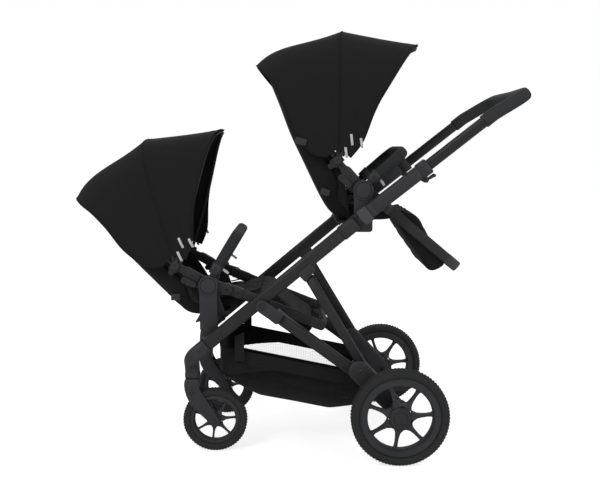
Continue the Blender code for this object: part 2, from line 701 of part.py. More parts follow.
def rim_z(x):
    return ELBOW[1] + 0.026 - 0.205 * (x - BASKET[0])


def rim_ring(inwards):
    """The basket's outline from above, with rounded corners."""
    found = []
    for cx, cy, first in ((BASKET[1], 1, 0), (BASKET[0], 1, 90), (BASKET[0], -1, 180),
                          (BASKET[1], -1, 270)):
        r = 0.045
        inner = (cx - r if cx == BASKET[1] else cx + r, cy * (BASKET_HALF - r))
        for k in range(5):
            a = math.radians(first + 22.5 * k)
            found.append((inner[0] + (r - inwards) * math.cos(a),
                          inner[1] + (r - inwards) * math.sin(a)))
    return found


rings = []
for away, drop in ((0.0, 0.0), (0.0038, 0.0), (0.0038, RIM_BAND), (0.0, RIM_BAND)):
    rings.append([Vector((x, y, rim_z(x) - drop)) for x, y in rim_ring(away)])
size = len(rings[0])
rim_faces = []
for k in range(4):
    for j in range(size):
        i = (j + 1) % size
        after = (k + 1) % 4
        rim_faces.append((k * size + j, k * size + i, after * size + i, after * size + j))
basket_rim = solid("basket_rim", [p for ring in rings for p in ring], rim_faces)
tabs = []
for side in (-1, 1):
    x = KNEE[0] - 0.012
    tabs.append(prism("tab", [(x, rim_z(x) - 0.030), (x + 0.022, rim_z(x) - 0.035),
                              (x + 0.022, rim_z(x) - 0.010), (x, rim_z(x) - 0.006)],
                      side * (BASKET_HALF - 0.002), side * (HOUSING_Y[0] - GAP), 0))
    x = BASKET[0] + 0.050
    tabs.append(prism("tab", [(x, rim_z(x) - 0.026), (x + 0.026, rim_z(x) - 0.030),
                              (x + 0.026, rim_z(x) + 0.052), (x, rim_z(x) + 0.040)],
                      side * (BASKET_HALF - 0.002), side * (TUBE_Y - HALF_W - GAP), 0))
fuse(basket_rim, *tabs)

TUB_TOP = RIM_BAND + NET_DEPTH + 0.0015
outer, inner = [], []
for k in range(11):
    t = k / 10
    x = BASKET[0] + (BASKET[1] - BASKET[0]) * t
    end = min(1.0, (math.sin(math.pi * t) * 1.35)) ** 0.8
    top = rim_z(x) - TUB_TOP * (1 if 0 < k < 10 else 0.97)
    deep = 0.003 + end * (0.036 + 0.010 * t)
    wide = BASKET_HALF - 0.002 - (0.004 if k in (0, 10) else 0)
    row_o, row_i = [], []
    for v in (-1, -0.95, -0.80, -0.4, 0.4, 0.80, 0.95, 1):
        fall = deep * (1 - abs(v) ** 5) + 0.004 * end * (1 - v * v)
        row_o.append(Vector((x, wide * v, top - fall)))
        row_i.append(Vector((x, (wide - 0.003 * (1 if abs(v) > 0.9 else 0)) * v,
                             top - fall + (0 if abs(v) == 1 else SHEET))))
    outer.append(row_o)
    inner.append(row_i)
sheet("basket_tub", outer, inner)


def net(name, side):
    """A flat net panel: thin strands round square gaps, thicker along its edge."""
    across, up = 8, 2
    x0, x1 = BASKET[0] + 0.052, BASKET[1] - 0.052
    strand = 0.0022
    lines_x = [x0, x0 + 0.004]
    pitch = (x1 - x0 - 0.008) / across
    for k in range(1, across):
        at = x0 + 0.004 + pitch * k
        lines_x += [at - strand / 2, at + strand / 2]
    lines_x += [x1 - 0.004, x1]
    lines_t = [0, 0.004]
    rise = (NET_DEPTH - 0.008) / up
    for k in range(1, up):
        at = 0.004 + rise * k
        lines_t += [at - strand / 2, at + strand / 2]
    lines_t += [NET_DEPTH - 0.004, NET_DEPTH]
    y = side * (BASKET_HALF - 0.0025)
    points, faces = [], []
    columns = len(lines_t)
    total = len(lines_x) * columns
    for layer in (-0.0006, 0.0006):
        for x in lines_x:
            for t in lines_t:
                points.append(Vector((x, y + layer, rim_z(x) - RIM_BAND - GAP - t)))

    def filled(i, j):
        inside = 0 <= i < len(lines_x) - 1 and 0 <= j < columns - 1
        return inside and not (i % 2 and j % 2)

    for i in range(len(lines_x) - 1):
        for j in range(columns - 1):
            if not filled(i, j):
                continue
            a = i * columns + j
            quad = (a, a + 1, a + columns + 1, a + columns)
            faces.append(quad)
            faces.append(tuple(total + k for k in reversed(quad)))
            for di, dj, p, q in ((-1, 0, a, a + 1), (1, 0, a + columns, a + columns + 1),
                                 (0, -1, a, a + columns), (0, 1, a + 1, a + columns + 1)):
                if not filled(i + di, j + dj):
                    faces.append((p, q, total + q, total + p))
    return solid(name, points, faces)


net("basket_net_l", -1)
net("basket_net_r", 1)


# Seats: one design, used twice, each turned about its hub
BRACKET_Y = (TUBE_Y - 0.0370, TUBE_Y - HALF_W - 0.0038)
SEAT_Y = TUBE_Y - 0.0450
PIVOT = (-0.0735, 0.0845)
BOWS = {"rear": (130.4, 0.3646), "mid": (85.6, 0.3760), "front": (52.7, 0.4125)}
CANOPY_HALF = TUBE_Y - 0.0235
REST_PIVOT = (0.0448, -0.0302)
LEVER_AT = (-0.0400, 0.0140)
REST_ANGLE = -39.9
REST_LENGTH = 0.305


def bow_point(angle, radius, half, theta, loose_front=0.0, loose_rear=0.0):
    """A point of a squarish arch about the canopy pivot, in the seat's own frame, with its Y."""
    c, s = math.cos(theta), math.sin(theta)
    r = radius * abs(s) ** 0.625
    y = -half * math.copysign(abs(c) ** 0.625, c)
    a = angle - loose_front * min(1.0, max(0.0, (0.160 - r) / 0.125))
    a += loose_rear * min(1.0, max(0.0, (0.300 - r) / 0.158)) ** 1.2
    a = math.radians(a)
    return (PIVOT[0] + r * math.cos(a), PIVOT[1] + r * math.sin(a), y)


SPREAD = (1.2, 5, 14, 27, 41, 54, 66, 78, 90)
THETAS = [math.radians(a) for a in SPREAD] + [math.radians(180 - a) for a in SPREAD[-2::-1]]


def seat(which):
    tilt = SEAT_TILT[which]
    hub = tube_point(*SEAT_HUB[which])
    y_in, y_out = -SEAT_Y + 0.0080, -SEAT_Y - 0.0075

    def at(x, z):
        return on_line(hub, tilt, x, z)

    def along(start, angle, reach, aside=0.0):
        p = on_line(start, angle, reach, aside)
        return at(*p)

    def space(x, z, y):
        return in_space(at(x, z), y)

    def plane(angle):
        a = math.radians(angle + tilt)
        return Vector((-math.sin(a), 0, math.cos(a)))

    # Mount bracket with its round hub
    if which == "upper":
        foot = (JOINT[0], JOINT[1] - 0.051)
        outline = [(foot[0] - 0.024, foot[1]), (foot[0] + 0.022, foot[1]),
                   (foot[0] + 0.025, foot[1] + 0.003), (hub[0] + 0.0265, hub[1] - 0.030),
                   *arc(hub, 0.0280, 0, 180, 6), (hub[0] - 0.0265, hub[1] - 0.030),
                   (foot[0] - 0.026, foot[1] + 0.003)]
    else:
        down = 0.166
        outline = [(hub[0] - 0.004, hub[1] - down), (hub[0] + 0.012, hub[1] - down + 0.004),
                   (hub[0] + 0.0255, hub[1] - down + 0.030), (hub[0] + 0.0255, hub[1] - 0.030),
                   *arc(hub, 0.0280, 0, 180, 6), (hub[0] - 0.0255, hub[1] - 0.030),
                   (hub[0] - 0.0255, hub[1] - down + 0.034)]
    bracket = prism(which + "_bracket_l", outline, -BRACKET_Y[0], -BRACKET_Y[1], 0.0020)
    boss = revolve("boss", [
        (0, -BRACKET_Y[0] - 0.002), (0.0280, -BRACKET_Y[0] - 0.002), (0.0280, -BRACKET_Y[1] - 0.0015),
        (0.0265, -BRACKET_Y[1] - 0.0025), (0, -BRACKET_Y[1] - 0.0025),
    ], hub, 14)
    bracket = fuse(bracket, boss)
    if which == "lower":
        bracket = fuse(bracket, disc("stud", tube_point(0.088), 0.0095, -BRACKET_Y[0] - 0.004,
                                     -TUBE_Y + HALF_W + GAP, 10))
    bracket = cut(bracket, disc("bore", hub, 0.0086, -BRACKET_Y[0] + 0.01, -BRACKET_Y[0] - 0.0125, 12))
    mirrored(bracket, which + "_bracket_r")

    # Seat frame: side plates with arms, the backrest hoop and the pan
    def side_plate():
        plate = disc(which + "_seat_frame", hub, 0.0272, y_in, y_out, 12)
        arm = [along((0, 0), 132, a, b) for a, b in
               ((0.0, -0.0150), (0.078, -0.0150), (0.084, -0.0105), (0.110, -0.0105),
                (0.110, 0.0105), (0.084, 0.0105), (0.078, 0.0150), (0.0, 0.0150))]
        block = [along(PIVOT, 132, a, b) for a, b in
                 ((-0.0145, -0.0235), (0.0145, -0.0235), (0.0145, 0.0235), (-0.0145, 0.0235))]
        rest = link_outline(hub, 0.0170, at(*REST_PIVOT), 0.0165, 4)
        web = [at(-0.018, 0.0), at(-0.018, -0.0965), at(0.018, -0.0965), at(0.018, 0.0)]
        lug_arm = link_outline(hub, 0.0120, at(*LEVER_AT), 0.0090, 3)
        plate = fuse(
            plate,
            prism("arm", arm, y_in - 0.0015, y_out + 0.001, 0),
            prism("block", block, y_in + 0.0006, y_out - 0.0012, 0.002),
            prism("rest", rest, y_in - 0.0010, y_out + 0.0016, 0),
            prism("web", web, y_in - 0.0020, y_out + 0.0022, 0),
            prism("lug", lug_arm, y_in - 0.0026, y_out + 0.0028, 0),
            disc("pin", hub, 0.0080, -SEAT_Y, -BRACKET_Y[0] - 0.0110, 12),
            disc("pin", at(*PIVOT), 0.0040, -SEAT_Y, -SEAT_Y - 0.0186, 8),
        )
        return cut(
            plate,
            disc("bore", at(*REST_PIVOT), PIN_R + 0.0003, -SEAT_Y + 0.02, -SEAT_Y - 0.0028, 10),
            disc("bore", at(*LEVER_AT), 0.0033, -SEAT_Y - 0.02, -SEAT_Y + 0.002, 8),
            sweep("bore", [space(*on_line((0, 0), 48, 0.0110), -SEAT_Y + 0.0015),
                           space(*on_line((0, 0), 48, 0.0400), -SEAT_Y + 0.0015)],
                  oval(0.0103, 0.0053, 8, 3)),
        )

    frame = side_plate()
    other = mirrored(frame, "other")
    hoop = sweep("hoop", fillet([
        space(-0.0670, 0.0760, -SEAT_Y), space(-0.0735, 0.0845, -SEAT_Y),
        space(-0.1550, 0.2030, -SEAT_Y + 0.003), space(-0.2360, 0.3250, -SEAT_Y + 0.042),
        space(-0.2360, 0.3250, SEAT_Y - 0.042), space(-0.1550, 0.2030, SEAT_Y - 0.003),
        space(-0.0735, 0.0845, SEAT_Y), space(-0.0670, 0.0760, SEAT_Y),
    ], 0.045, 2), oval(0.0088, 0.0072, 6, 2), normal=plane(123.6))
    pan = prism("pan", [at(-0.0740, -0.0965), at(0.0300, -0.0965), at(0.0300, -0.0920),
                        at(-0.0740, -0.0920)], -SEAT_Y + 0.001, SEAT_Y - 0.001, 0)
    fuse(frame, other, hoop, pan)

    # Seat pad: a bucket of padded fabric, drawn through stations from the front edge to the top
    stations = [
        (0.0920, -0.0885, 92, 0.018, 0.024, 0.124), (0.0620, -0.0900, 90, 0.029, 0.036, 0.130),
        (0.0300, -0.0900, 90, 0.026, 0.040, 0.131), (0.0000, -0.0900, 90, 0.032, 0.043, 0.132),
        (-0.0500, -0.0860, 82, 0.032, 0.045, 0.133), (-0.0850, -0.0700, 57, 0.030, 0.046, 0.136),
        (-0.1100, -0.0350, 38, 0.028, 0.058, 0.141), (-0.1360, 0.0150, 27, 0.032, 0.072, 0.145),
        (-0.1660, 0.0780, 25, 0.028, 0.060, 0.147), (-0.1960, 0.1400, 24, 0.032, 0.048, 0.147),
        (-0.2160, 0.1880, 23, 0.026, 0.034, 0.143),
        (-0.2360, 0.2420, 22, 0.020, 0.024, 0.136), (-0.2580, 0.2950, 22, 0.0165, 0.0190, 0.122),
        (-0.2740, 0.3330, 22, 0.0100, 0.0115, 0.092),
    ]
    wall = 0.012
    points, faces = [], []
    for x, z, normal, thick, high, half in stations:
        n = (math.cos(math.radians(normal)), math.sin(math.radians(normal)))
        low = min(thick * 0.6, high * 0.5)
        section = [
            (-half + 0.004, high), (-half, high - 0.003), (-half, low), (-half * 0.93, 0.0015),
            (-half * 0.5, 0.0), (half * 0.5, 0.0), (half * 0.93, 0.0015), (half, low),
            (half, high - 0.003), (half - 0.004, high), (half - wall + 0.002, high),
            (half - wall, high - 0.003 if high > thick + 0.006 else thick),
            (half - wall - 0.006, thick * 0.97), (half * 0.55, thick), (0, thick * 1.03),
            (-half * 0.55, thick), (-half + wall + 0.006, thick * 0.97),
            (-half + wall, high - 0.003 if high > thick + 0.006 else thick),
            (-half + wall - 0.002, high),
        ]
        for y, u in section:
            points.append(space(x + n[0] * u, z + n[1] * u, y))
    size = len(section)
    for k in range(len(stations) - 1):
        for j in range(size):
            i = (j + 1) % size
            faces.append((k * size + j, k * size + i, (k + 1) * size + i, (k + 1) * size + j))
    faces.append(list(range(size)))
    faces.append([(len(stations) - 1) * size + j for j in range(size)])
    solid(which + "_seat_pad", points, faces)

    # Recline lever, on the left arm
    lever = prism(which + "_recline_lever", link_outline(at(*LEVER_AT), 0.0085,
                                                         at(-0.0620, 0.0350), 0.0100, 7),
                  y_out - 0.0020, y_out - 0.0090, 0.0015)
    fuse(lever, disc("pin", at(*LEVER_AT), 0.0030, -SEAT_Y, y_out - 0.004, 8))

    # Leg rest: two rails and an end bar in one hoop, with a padded panel between them
    tip = on_line(REST_PIVOT, REST_ANGLE, REST_LENGTH)
    rail_y = SEAT_Y - 0.0175
    rest = sweep(which + "_legrest_frame", fillet([
        space(*on_line(REST_PIVOT, REST_ANGLE, 0.0), -rail_y), space(*tip, -rail_y),
        space(*tip, rail_y), space(*on_line(REST_PIVOT, REST_ANGLE, 0.0), rail_y),
    ], 0.030, 3), oval(0.0155, 0.0072, 10, 3), normal=plane(REST_ANGLE))
    for side in (-1, 1):
        rest = fuse(
            rest,
            disc("eye", at(*REST_PIVOT), 0.0160, side * (rail_y - 0.0078), side * (rail_y + 0.0078),
                 10, 0),
            disc("pin", at(*REST_PIVOT), PIN_R, side * rail_y, side * (SEAT_Y + 0.0022), 8),
        )
    cushion(which + "_legrest_pad", [at(*p) for p in (
        (0.1120, -0.0680), (0.1400, -0.0630), (0.1780, -0.0800), (0.2130, -0.1050),
        (0.2330, -0.1400), (0.2440, -0.1700), (0.2520, -0.1960), (0.2420, -0.2140),
        (0.2080, -0.2410), (0.1950, -0.2380), (0.1720, -0.2040), (0.1500, -0.1700),
        (0.1280, -0.1350), (0.1160, -0.1120), (0.1080, -0.0940))], 0.1335)

    # Bumper bar: its plugs slide into the hubs
    bumper = sweep(which + "_bumper_bar", fillet([
        space(*on_line((0, 0), 48, 0.0312), -SEAT_Y + 0.0100), space(0.1190, 0.1090, -SEAT_Y + 0.0100),
        space(0.1190, 0.1090, SEAT_Y - 0.0100), space(*on_line((0, 0), 48, 0.0312), SEAT_Y - 0.0100),
    ], 0.055, 3), oval(0.0165, 0.0122, 8, 2.3), normal=plane(42))
    for side in (-1, 1):
        bumper = fuse(bumper, sweep("plug", [
            space(*on_line((0, 0), 48, 0.0130), side * (SEAT_Y - 0.0015)),
            space(*on_line((0, 0), 48, 0.0440), side * (SEAT_Y - 0.0015)),
        ], oval(0.0100, 0.0050, 8, 3)))

    # Canopy bows: flat hoops on the clamp pins
    for bow, half, slot in (("mid", SEAT_Y + 0.0115, 0.0115), ("front", SEAT_Y + 0.0160, 0.0160)):
        angle, radius = BOWS[bow]
        path = []
        for theta in [math.radians(0.06)] + THETAS[1::2] + [math.radians(179.94)]:
            x, z, y = bow_point(angle, radius - 0.0085, half, theta)
            path.append(space(x, z, y))
        hoop = sweep(which + "_canopy_bow_" + bow, path, oval(0.0050, 0.0017, 4, 3),
                     normal=plane(angle))
        for side in (-1, 1):
            eye = disc("eye", at(*PIVOT), 0.0115, side * (SEAT_Y + slot - 0.0019),
                       side * (SEAT_Y + slot + 0.0019), 12)
            hoop = fuse(hoop, eye)
        cut(hoop, disc("bore", at(*PIVOT), 0.0046, -0.3, 0.3, 8))

    # Canopy sheets: fabric drawn straight from one bow to the next
    for part, first, last in (("rear", "mid", "rear"), ("front", "mid", "front")):
        grids = []
        for shrink in (0.0, SHEET):
            grid = []
            for k in range(5):
                u = k / 4
                row = []
                for theta in THETAS:
                    loose = (40.0 if part == "front" else 0.0, 26.0 if part == "rear" else 0.0)
                    a = bow_point(BOWS[first][0] + (0.10 if part == "rear" else -0.10),
                                  BOWS[first][1] - shrink, CANOPY_HALF - shrink, theta)
                    b = bow_point(BOWS[last][0], BOWS[last][1] - shrink, CANOPY_HALF - shrink,
                                  theta, *loose)
                    sag = 1 + (0.050 * math.sin(math.pi * u * u) if part == "rear"
                               else -0.006 * math.sin(math.pi * u)) * math.sin(theta) ** 2
                    x, z, y = (a[j] + (b[j] - a[j]) * u for j in range(3))
                    x, z = PIVOT[0] + (x - PIVOT[0]) * sag, PIVOT[1] + (z - PIVOT[1]) * sag
                    row.append(space(x, z, y))
                grid.append(row)
            grids.append(grid)
        sheet(which + "_canopy_" + part, *grids)


seat("upper")
seat("lower")


# The joints: an empty on each axis carries the pieces that turn or slide about it
def pivot(name, point, y, parent, *pieces):
    """An empty at a joint, hung from the joint before it, with its pieces left where they are."""
    made = bpy.data.objects.new(name, None)
    bpy.context.scene.collection.objects.link(made)
    place = in_space(point, y)
    made["place"] = place
    made.empty_display_size = 0.03
    made.location = place - Vector(parent["place"]) if parent else place
    made.parent = parent
    for piece in pieces:
        held = bpy.data.objects[piece]
        held.parent = made
        held.location = held.location - place
    return made


def both(*names):
    return [name + side for name in names for side in ("_l", "_r")]


rear = pivot("rear_frame_origin", REAR_AXLE, 0, None, "rear_axle",
             *both("rear_leg", "lower_strut", "axle_housing"))
pivot("brake_pivot", REAR_AXLE, 0, rear, "brake_pedal")
fold = pivot("chassis_fold", STRUT_PIVOT, 0, rear, "front_yoke", "basket_rim", "basket_tub",
             *both("main_tube", "fold_lug", "upper_bracket", "lower_bracket", "basket_net"))
carrier = pivot("handle_fold", JOINT, 0, fold, *both("upper_housing", "joint_cover"))
pivot("handle_slide", handle_point(HANDLE_REACH), 0, carrier, "push_handle", "handle_grip")
for side, way in (("_l", -1), ("_r", 1)):
    pivot("rear_wheel" + side, REAR_AXLE, way * REAR_WHEEL_Y, rear, "rear_rim" + side,
          "rear_tyre" + side)
    swivel = pivot("caster_swivel" + side, (SWIVEL_X, SOCKET_Z), way * FRONT_WHEEL_Y, fold,
                   "caster_fork" + side)
    pivot("front_wheel" + side, FRONT_AXLE, way * FRONT_WHEEL_Y, swivel, "front_rim" + side,
          "front_tyre" + side)
    pivot("trigger_slide" + side, handle_point(TRIGGER_AT + 0.0125, TRIGGER_TOP), way * HANDLE_Y,
          carrier, "telescope_trigger" + side)
for which in ("upper", "lower"):
    hub = tube_point(*SEAT_HUB[which])
    tilt = SEAT_TILT[which]
    recline = pivot(which + "_recline", hub, 0, fold, which + "_seat_frame", which + "_seat_pad",
                    which + "_canopy_rear", which + "_canopy_front")
    pivot(which + "_lever_pivot", on_line(hub, tilt, *LEVER_AT), -SEAT_Y, recline,
          which + "_recline_lever")
    pivot(which + "_legrest_pivot", on_line(hub, tilt, *REST_PIVOT), 0, recline,
          which + "_legrest_frame", which + "_legrest_pad")
    pivot(which + "_bumper_slide", hub, 0, recline, which + "_bumper_bar")
    middle = pivot(which + "_bow_pivot_mid", on_line(hub, tilt, *PIVOT), 0, recline,
                   which + "_canopy_bow_mid")
    pivot(which + "_bow_pivot_front", on_line(hub, tilt, *PIVOT), 0, middle,
          which + "_canopy_bow_front")
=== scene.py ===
"""Tandem double stroller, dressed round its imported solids.

Metres, +Z up, floor at z = 0. The stroller faces -X and its left side is -Y.
The script follows the stroller as it is put together: view and light, wheels, rear unit,
front unit, handle, the two seats and the basket.
"""

import math

import bmesh
import bpy
import numpy as np
from mathutils import Matrix, Vector


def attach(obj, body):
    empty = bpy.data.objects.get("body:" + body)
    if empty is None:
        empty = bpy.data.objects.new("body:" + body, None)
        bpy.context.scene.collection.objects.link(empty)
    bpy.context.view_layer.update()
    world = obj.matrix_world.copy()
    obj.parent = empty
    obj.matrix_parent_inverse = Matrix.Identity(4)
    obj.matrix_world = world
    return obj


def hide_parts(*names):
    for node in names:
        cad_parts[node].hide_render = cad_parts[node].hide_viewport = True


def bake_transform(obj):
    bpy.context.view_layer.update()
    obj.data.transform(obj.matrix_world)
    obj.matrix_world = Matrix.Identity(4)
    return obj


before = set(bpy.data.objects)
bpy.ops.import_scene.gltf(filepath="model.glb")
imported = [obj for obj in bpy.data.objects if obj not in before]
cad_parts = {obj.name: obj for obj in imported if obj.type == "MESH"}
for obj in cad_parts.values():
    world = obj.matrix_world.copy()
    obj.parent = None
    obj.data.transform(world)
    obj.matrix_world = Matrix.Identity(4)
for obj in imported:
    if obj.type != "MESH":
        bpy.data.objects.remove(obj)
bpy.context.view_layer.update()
scene = bpy.context.scene

# View and light. The photograph shows the left side from a little above, on plain white,
# so the camera stands 2.4 m away at chest height, and the studio is a pale floor and sky.
WHITE = (1, 1, 1, 1)
lens = bpy.data.cameras.new("view")
lens.lens = 45.96
lens.sensor_width = 36
camera = bpy.data.objects.new("view", lens)
camera.location = (0.0115, -2.36, 0.894)
camera.rotation_euler = (math.radians(90 - 7.585), 0, 0)
scene.collection.objects.link(camera)
scene.camera = camera
scene.view_settings.view_transform = "Standard"


def area_light(name, place, size, power):
    """A square soft light at a place, aimed at the middle of the stroller."""
    lamp = bpy.data.lights.new(name, "AREA")
    lamp.size = size
    lamp.energy = power
    held = bpy.data.objects.new(name, lamp)
    held.location = place
    held.rotation_euler = (Vector((0, 0, 0.6)) - Vector(place)).to_track_quat("-Z", "Y").to_euler()
    scene.collection.objects.link(held)


area_light("key", (-1.9, -2.6, 3.1), 1.8, 36)
area_light("fill", (2.4, -2.2, 1.9), 2.0, 14)
area_light("back", (0.4, 2.6, 2.8), 1.6, 18)


def new_node(tree, kind, values=None, **settings):
    """A node with its settings made first, and then its inputs filled by name."""
    made = tree.nodes.new(kind)
    for setting, value in settings.items():
        setattr(made, setting, value)
    for label, value in (values or {}).items():
        made.inputs[label].default_value = value
    return made


def wired(tree, *wires):
    """Joins an output of one node to an input of another, by name or number."""
    for giver, gives, taker, takes in wires:
        tree.links.new(giver.outputs[gives], taker.inputs[takes])


sky = bpy.data.worlds.new("sky")
scene.world = sky
sky.use_nodes = True
tree = sky.node_tree
tree.nodes.clear()
ray = tree.nodes.new("ShaderNodeLightPath")
seen = new_node(tree, "ShaderNodeMath", operation="MAXIMUM")
ambient = new_node(tree, "ShaderNodeBackground", {"Color": WHITE, "Strength": 0.33})
white = new_node(tree, "ShaderNodeBackground", {"Color": WHITE, "Strength": 1.0})
either = tree.nodes.new("ShaderNodeMixShader")
out = tree.nodes.new("ShaderNodeOutputWorld")
wired(tree, (ray, "Is Camera Ray", seen, 0), (ray, "Is Transmission Ray", seen, 1),
      (seen, 0, either, "Fac"), (ambient, 0, either, 1), (white, 0, either, 2),
      (either, 0, out, "Surface"))

# The floor is a pale disc under the wheels. The camera sees it almost white, with a soft
# shadow, and it fades into the white sky.
floor_mesh = bpy.data.meshes.new("floor")
floor_shape = bmesh.new()
bmesh.ops.create_circle(floor_shape, cap_ends=True, radius=14, segments=96)
floor_shape.to_mesh(floor_mesh)
floor_shape.free()
floor = bpy.data.objects.new("floor", floor_mesh)
scene.collection.objects.link(floor)
pale = bpy.data.materials.new("pale_floor")
pale.use_nodes = True
tree = pale.node_tree
body = tree.nodes["Principled BSDF"]
body.inputs["Base Color"].default_value = (0.86, 0.86, 0.86, 1)
body.inputs["Roughness"].default_value = 0.9
ray = tree.nodes.new("ShaderNodeLightPath")
glow = new_node(tree, "ShaderNodeEmission", {"Color": WHITE, "Strength": 0.74})
both = tree.nodes.new("ShaderNodeAddShader")
pick = tree.nodes.new("ShaderNodeMixShader")
wired(tree, (body, 0, both, 0), (glow, 0, both, 1), (ray, "Is Camera Ray", pick, "Fac"),
      (body, 0, pick, 1), (both, 0, pick, 2), (pick, 0, tree.nodes["Material Output"], "Surface"))
floor_mesh.materials.append(pale)


# Wheels. Each rear wheel is 280 mm: a foam-filled tyre with a shallow tread on a moulded rim of
# seven flared spokes, with a push-button hub cap. The front wheels are 190 mm and alike.
REAR_WHEEL_R = 0.140
REAR_AXLE = (0.2945, REAR_WHEEL_R)
REAR_WHEEL_Y = 0.275
REAR_TYRE_W = 0.045
FRONT_WHEEL_R = 0.095
FRONT_AXLE = (REAR_AXLE[0] - 0.5346, FRONT_WHEEL_R)
FRONT_WHEEL_Y = 0.165
FRONT_TYRE_W = 0.033
SPOKES = 7
FIRST_SPOKE = 5.2


def group(name, inputs, outputs, kind="ShaderNodeTree"):
    """An empty node group with named sockets, its input node and its output node."""
    made = bpy.data.node_groups.new(name, kind)
    for label, socket_kind, value in inputs:
        socket = made.interface.new_socket(label, in_out="INPUT", socket_type="NodeSocket" + socket_kind)
        if value is not None:
            socket.default_value = value
    for label, socket_kind in outputs:
        made.interface.new_socket(label, in_out="OUTPUT", socket_type="NodeSocket" + socket_kind)
    return made, made.nodes.new("NodeGroupInput"), made.nodes.new("NodeGroupOutput")


def noise_node(tree, scale, detail, rough=0.5):
    return new_node(tree, "ShaderNodeTexNoise", {"Scale": scale, "Detail": detail, "Roughness": rough})


def stretch(tree, low, high, to_low, to_high):
    return new_node(tree, "ShaderNodeMapRange",
                    {"From Min": low, "From Max": high, "To Min": to_low, "To Max": to_high})


def blend_colour(tree, kind="MIX"):
    return new_node(tree, "ShaderNodeMix", data_type="RGBA", blend_type=kind)


# Grain and handling wear: colour and roughness that drift slowly, and a fine raised grain
grain, given, put = group(
    "moulded_grain",
    [("Place", "Vector", None), ("Colour", "Color", (0.05, 0.05, 0.05, 1)),
     ("Rubbed", "Color", (0.09, 0.09, 0.09, 1)), ("Rough", "Float", 0.5),
     ("Grain Size", "Float", 900.0)],
    [("Colour", "Color"), ("Rough", "Float"), ("Height", "Float")])
slow = noise_node(grain, 7.0, 4.0, 0.55)
fine = noise_node(grain, 900.0, 1.0)
rub = stretch(grain, 0.42, 0.72, 0.0, 1.0)
spread = stretch(grain, 0.3, 0.7, -0.06, 0.07)
add = grain.nodes.new("ShaderNodeMath")
tint = blend_colour(grain)
wired(grain, (given, "Place", slow, "Vector"), (given, "Place", fine, "Vector"),
      (given, "Grain Size", fine, "Scale"), (slow, "Fac", rub, "Value"),
      (slow, "Fac", spread, "Value"), (rub, "Result", tint, "Factor"), (given, "Colour", tint, "A"),
      (given, "Rubbed", tint, "B"), (given, "Rough", add, 0), (spread, "Result", add, 1),
      (tint, "Result", put, "Colour"), (add, 0, put, "Rough"), (fine, "Fac", put, "Height"))


def surface(name, effect, values, gloss, places, strength, depth):
    """A material whose colour, roughness and relief come from the group of its effect."""
    made = bpy.data.materials.new(name)
    made.use_nodes = True
    tree = made.node_tree
    shader = tree.nodes["Principled BSDF"]
    for label, value in gloss.items():
        shader.inputs[label].default_value = value
    where = tree.nodes.new("ShaderNodeTexCoord")
    look = new_node(tree, "ShaderNodeGroup", values, node_tree=effect)
    bump = new_node(tree, "ShaderNodeBump", {"Strength": strength, "Distance": depth})
    for label, source in places.items():
        wired(tree, (where, source, look, label))
    wired(tree, (look, "Colour", shader, "Base Color"), (look, "Rough", shader, "Roughness"),
          (look, "Height", bump, "Height"), (bump, "Normal", shader, "Normal"))
    return made


def hard_finish(name, colour, rubbed, rough, size=900.0, depth=0.00012, metal=0.0):
    """A moulded, coated, metal or rubber surface: its grain, its rubbed tone and its gloss."""
    return surface(name, grain, {"Colour": (*colour, 1), "Rubbed": (*rubbed, 1), "Rough": rough,
                                 "Grain Size": size},
                   {"Metallic": metal}, {"Place": "Object"}, 0.5, depth)


TYRE_RUBBER = hard_finish("tyre_rubber", (0.0265, 0.0270, 0.0280), (0.036, 0.0365, 0.037), 0.82,
                          700.0, 0.0002)
RIM_PLASTIC = hard_finish("rim_plastic", (0.036, 0.037, 0.041), (0.045, 0.046, 0.050), 0.45)
DARK_PLASTIC = hard_finish("dark_plastic", (0.027, 0.027, 0.030), (0.034, 0.034, 0.037), 0.55)


def carried(made, body, node):
    """Puts the piece on its body and lets it stand for its solid, where these are given."""
    if body:
        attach(made, body)
    if node:
        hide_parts(node)
    return made


def piece(name, points, faces, finish, body=None, node=None, angle=35, uv=None):
    """A mesh piece in the stroller's frame, smooth but for edges sharper than an angle."""
    mesh = bpy.data.meshes.new(name)
    mesh.from_pydata([tuple(p) for p in points], [], faces)
    shaped = bmesh.new()
    shaped.from_mesh(mesh)
    if uv:
        layer = shaped.loops.layers.uv.new("cloth")
        for face in shaped.faces:
            for loop in face.loops:
                loop[layer].uv = uv[loop.vert.index]
    bmesh.ops.remove_doubles(shaped, verts=shaped.verts, dist=1e-5)
    bmesh.ops.recalc_face_normals(shaped, faces=shaped.faces)
    shaped.to_mesh(mesh)
    shaped.free()
    made = bpy.data.objects.new(name, mesh)
    scene.collection.objects.link(made)
    mesh.materials.append(finish)
    mesh.shade_smooth()
    mesh.set_sharp_from_angle(angle=math.radians(angle))
    return carried(made, body, node)


def applied(made):
    """Turns the piece's modifiers into its plain mesh."""
    bpy.context.view_layer.update()
    graph = bpy.context.evaluated_depsgraph_get()
    result = bpy.data.meshes.new_from_object(made.evaluated_get(graph))
    made.modifiers.clear()
    made.data = result
    return made


def rounded(made, width, segments, angle):
    """Breaks the piece's edges, as a mould or a file does."""
    edge = made.modifiers.new("edge", "BEVEL")
    edge.width = width
    edge.segments = segments
    edge.limit_method = "ANGLE"
    edge.angle_limit = math.radians(angle)
    applied(made)
    made.data.shade_smooth()
    made.data.set_sharp_from_angle(angle=math.radians(42))
    return made


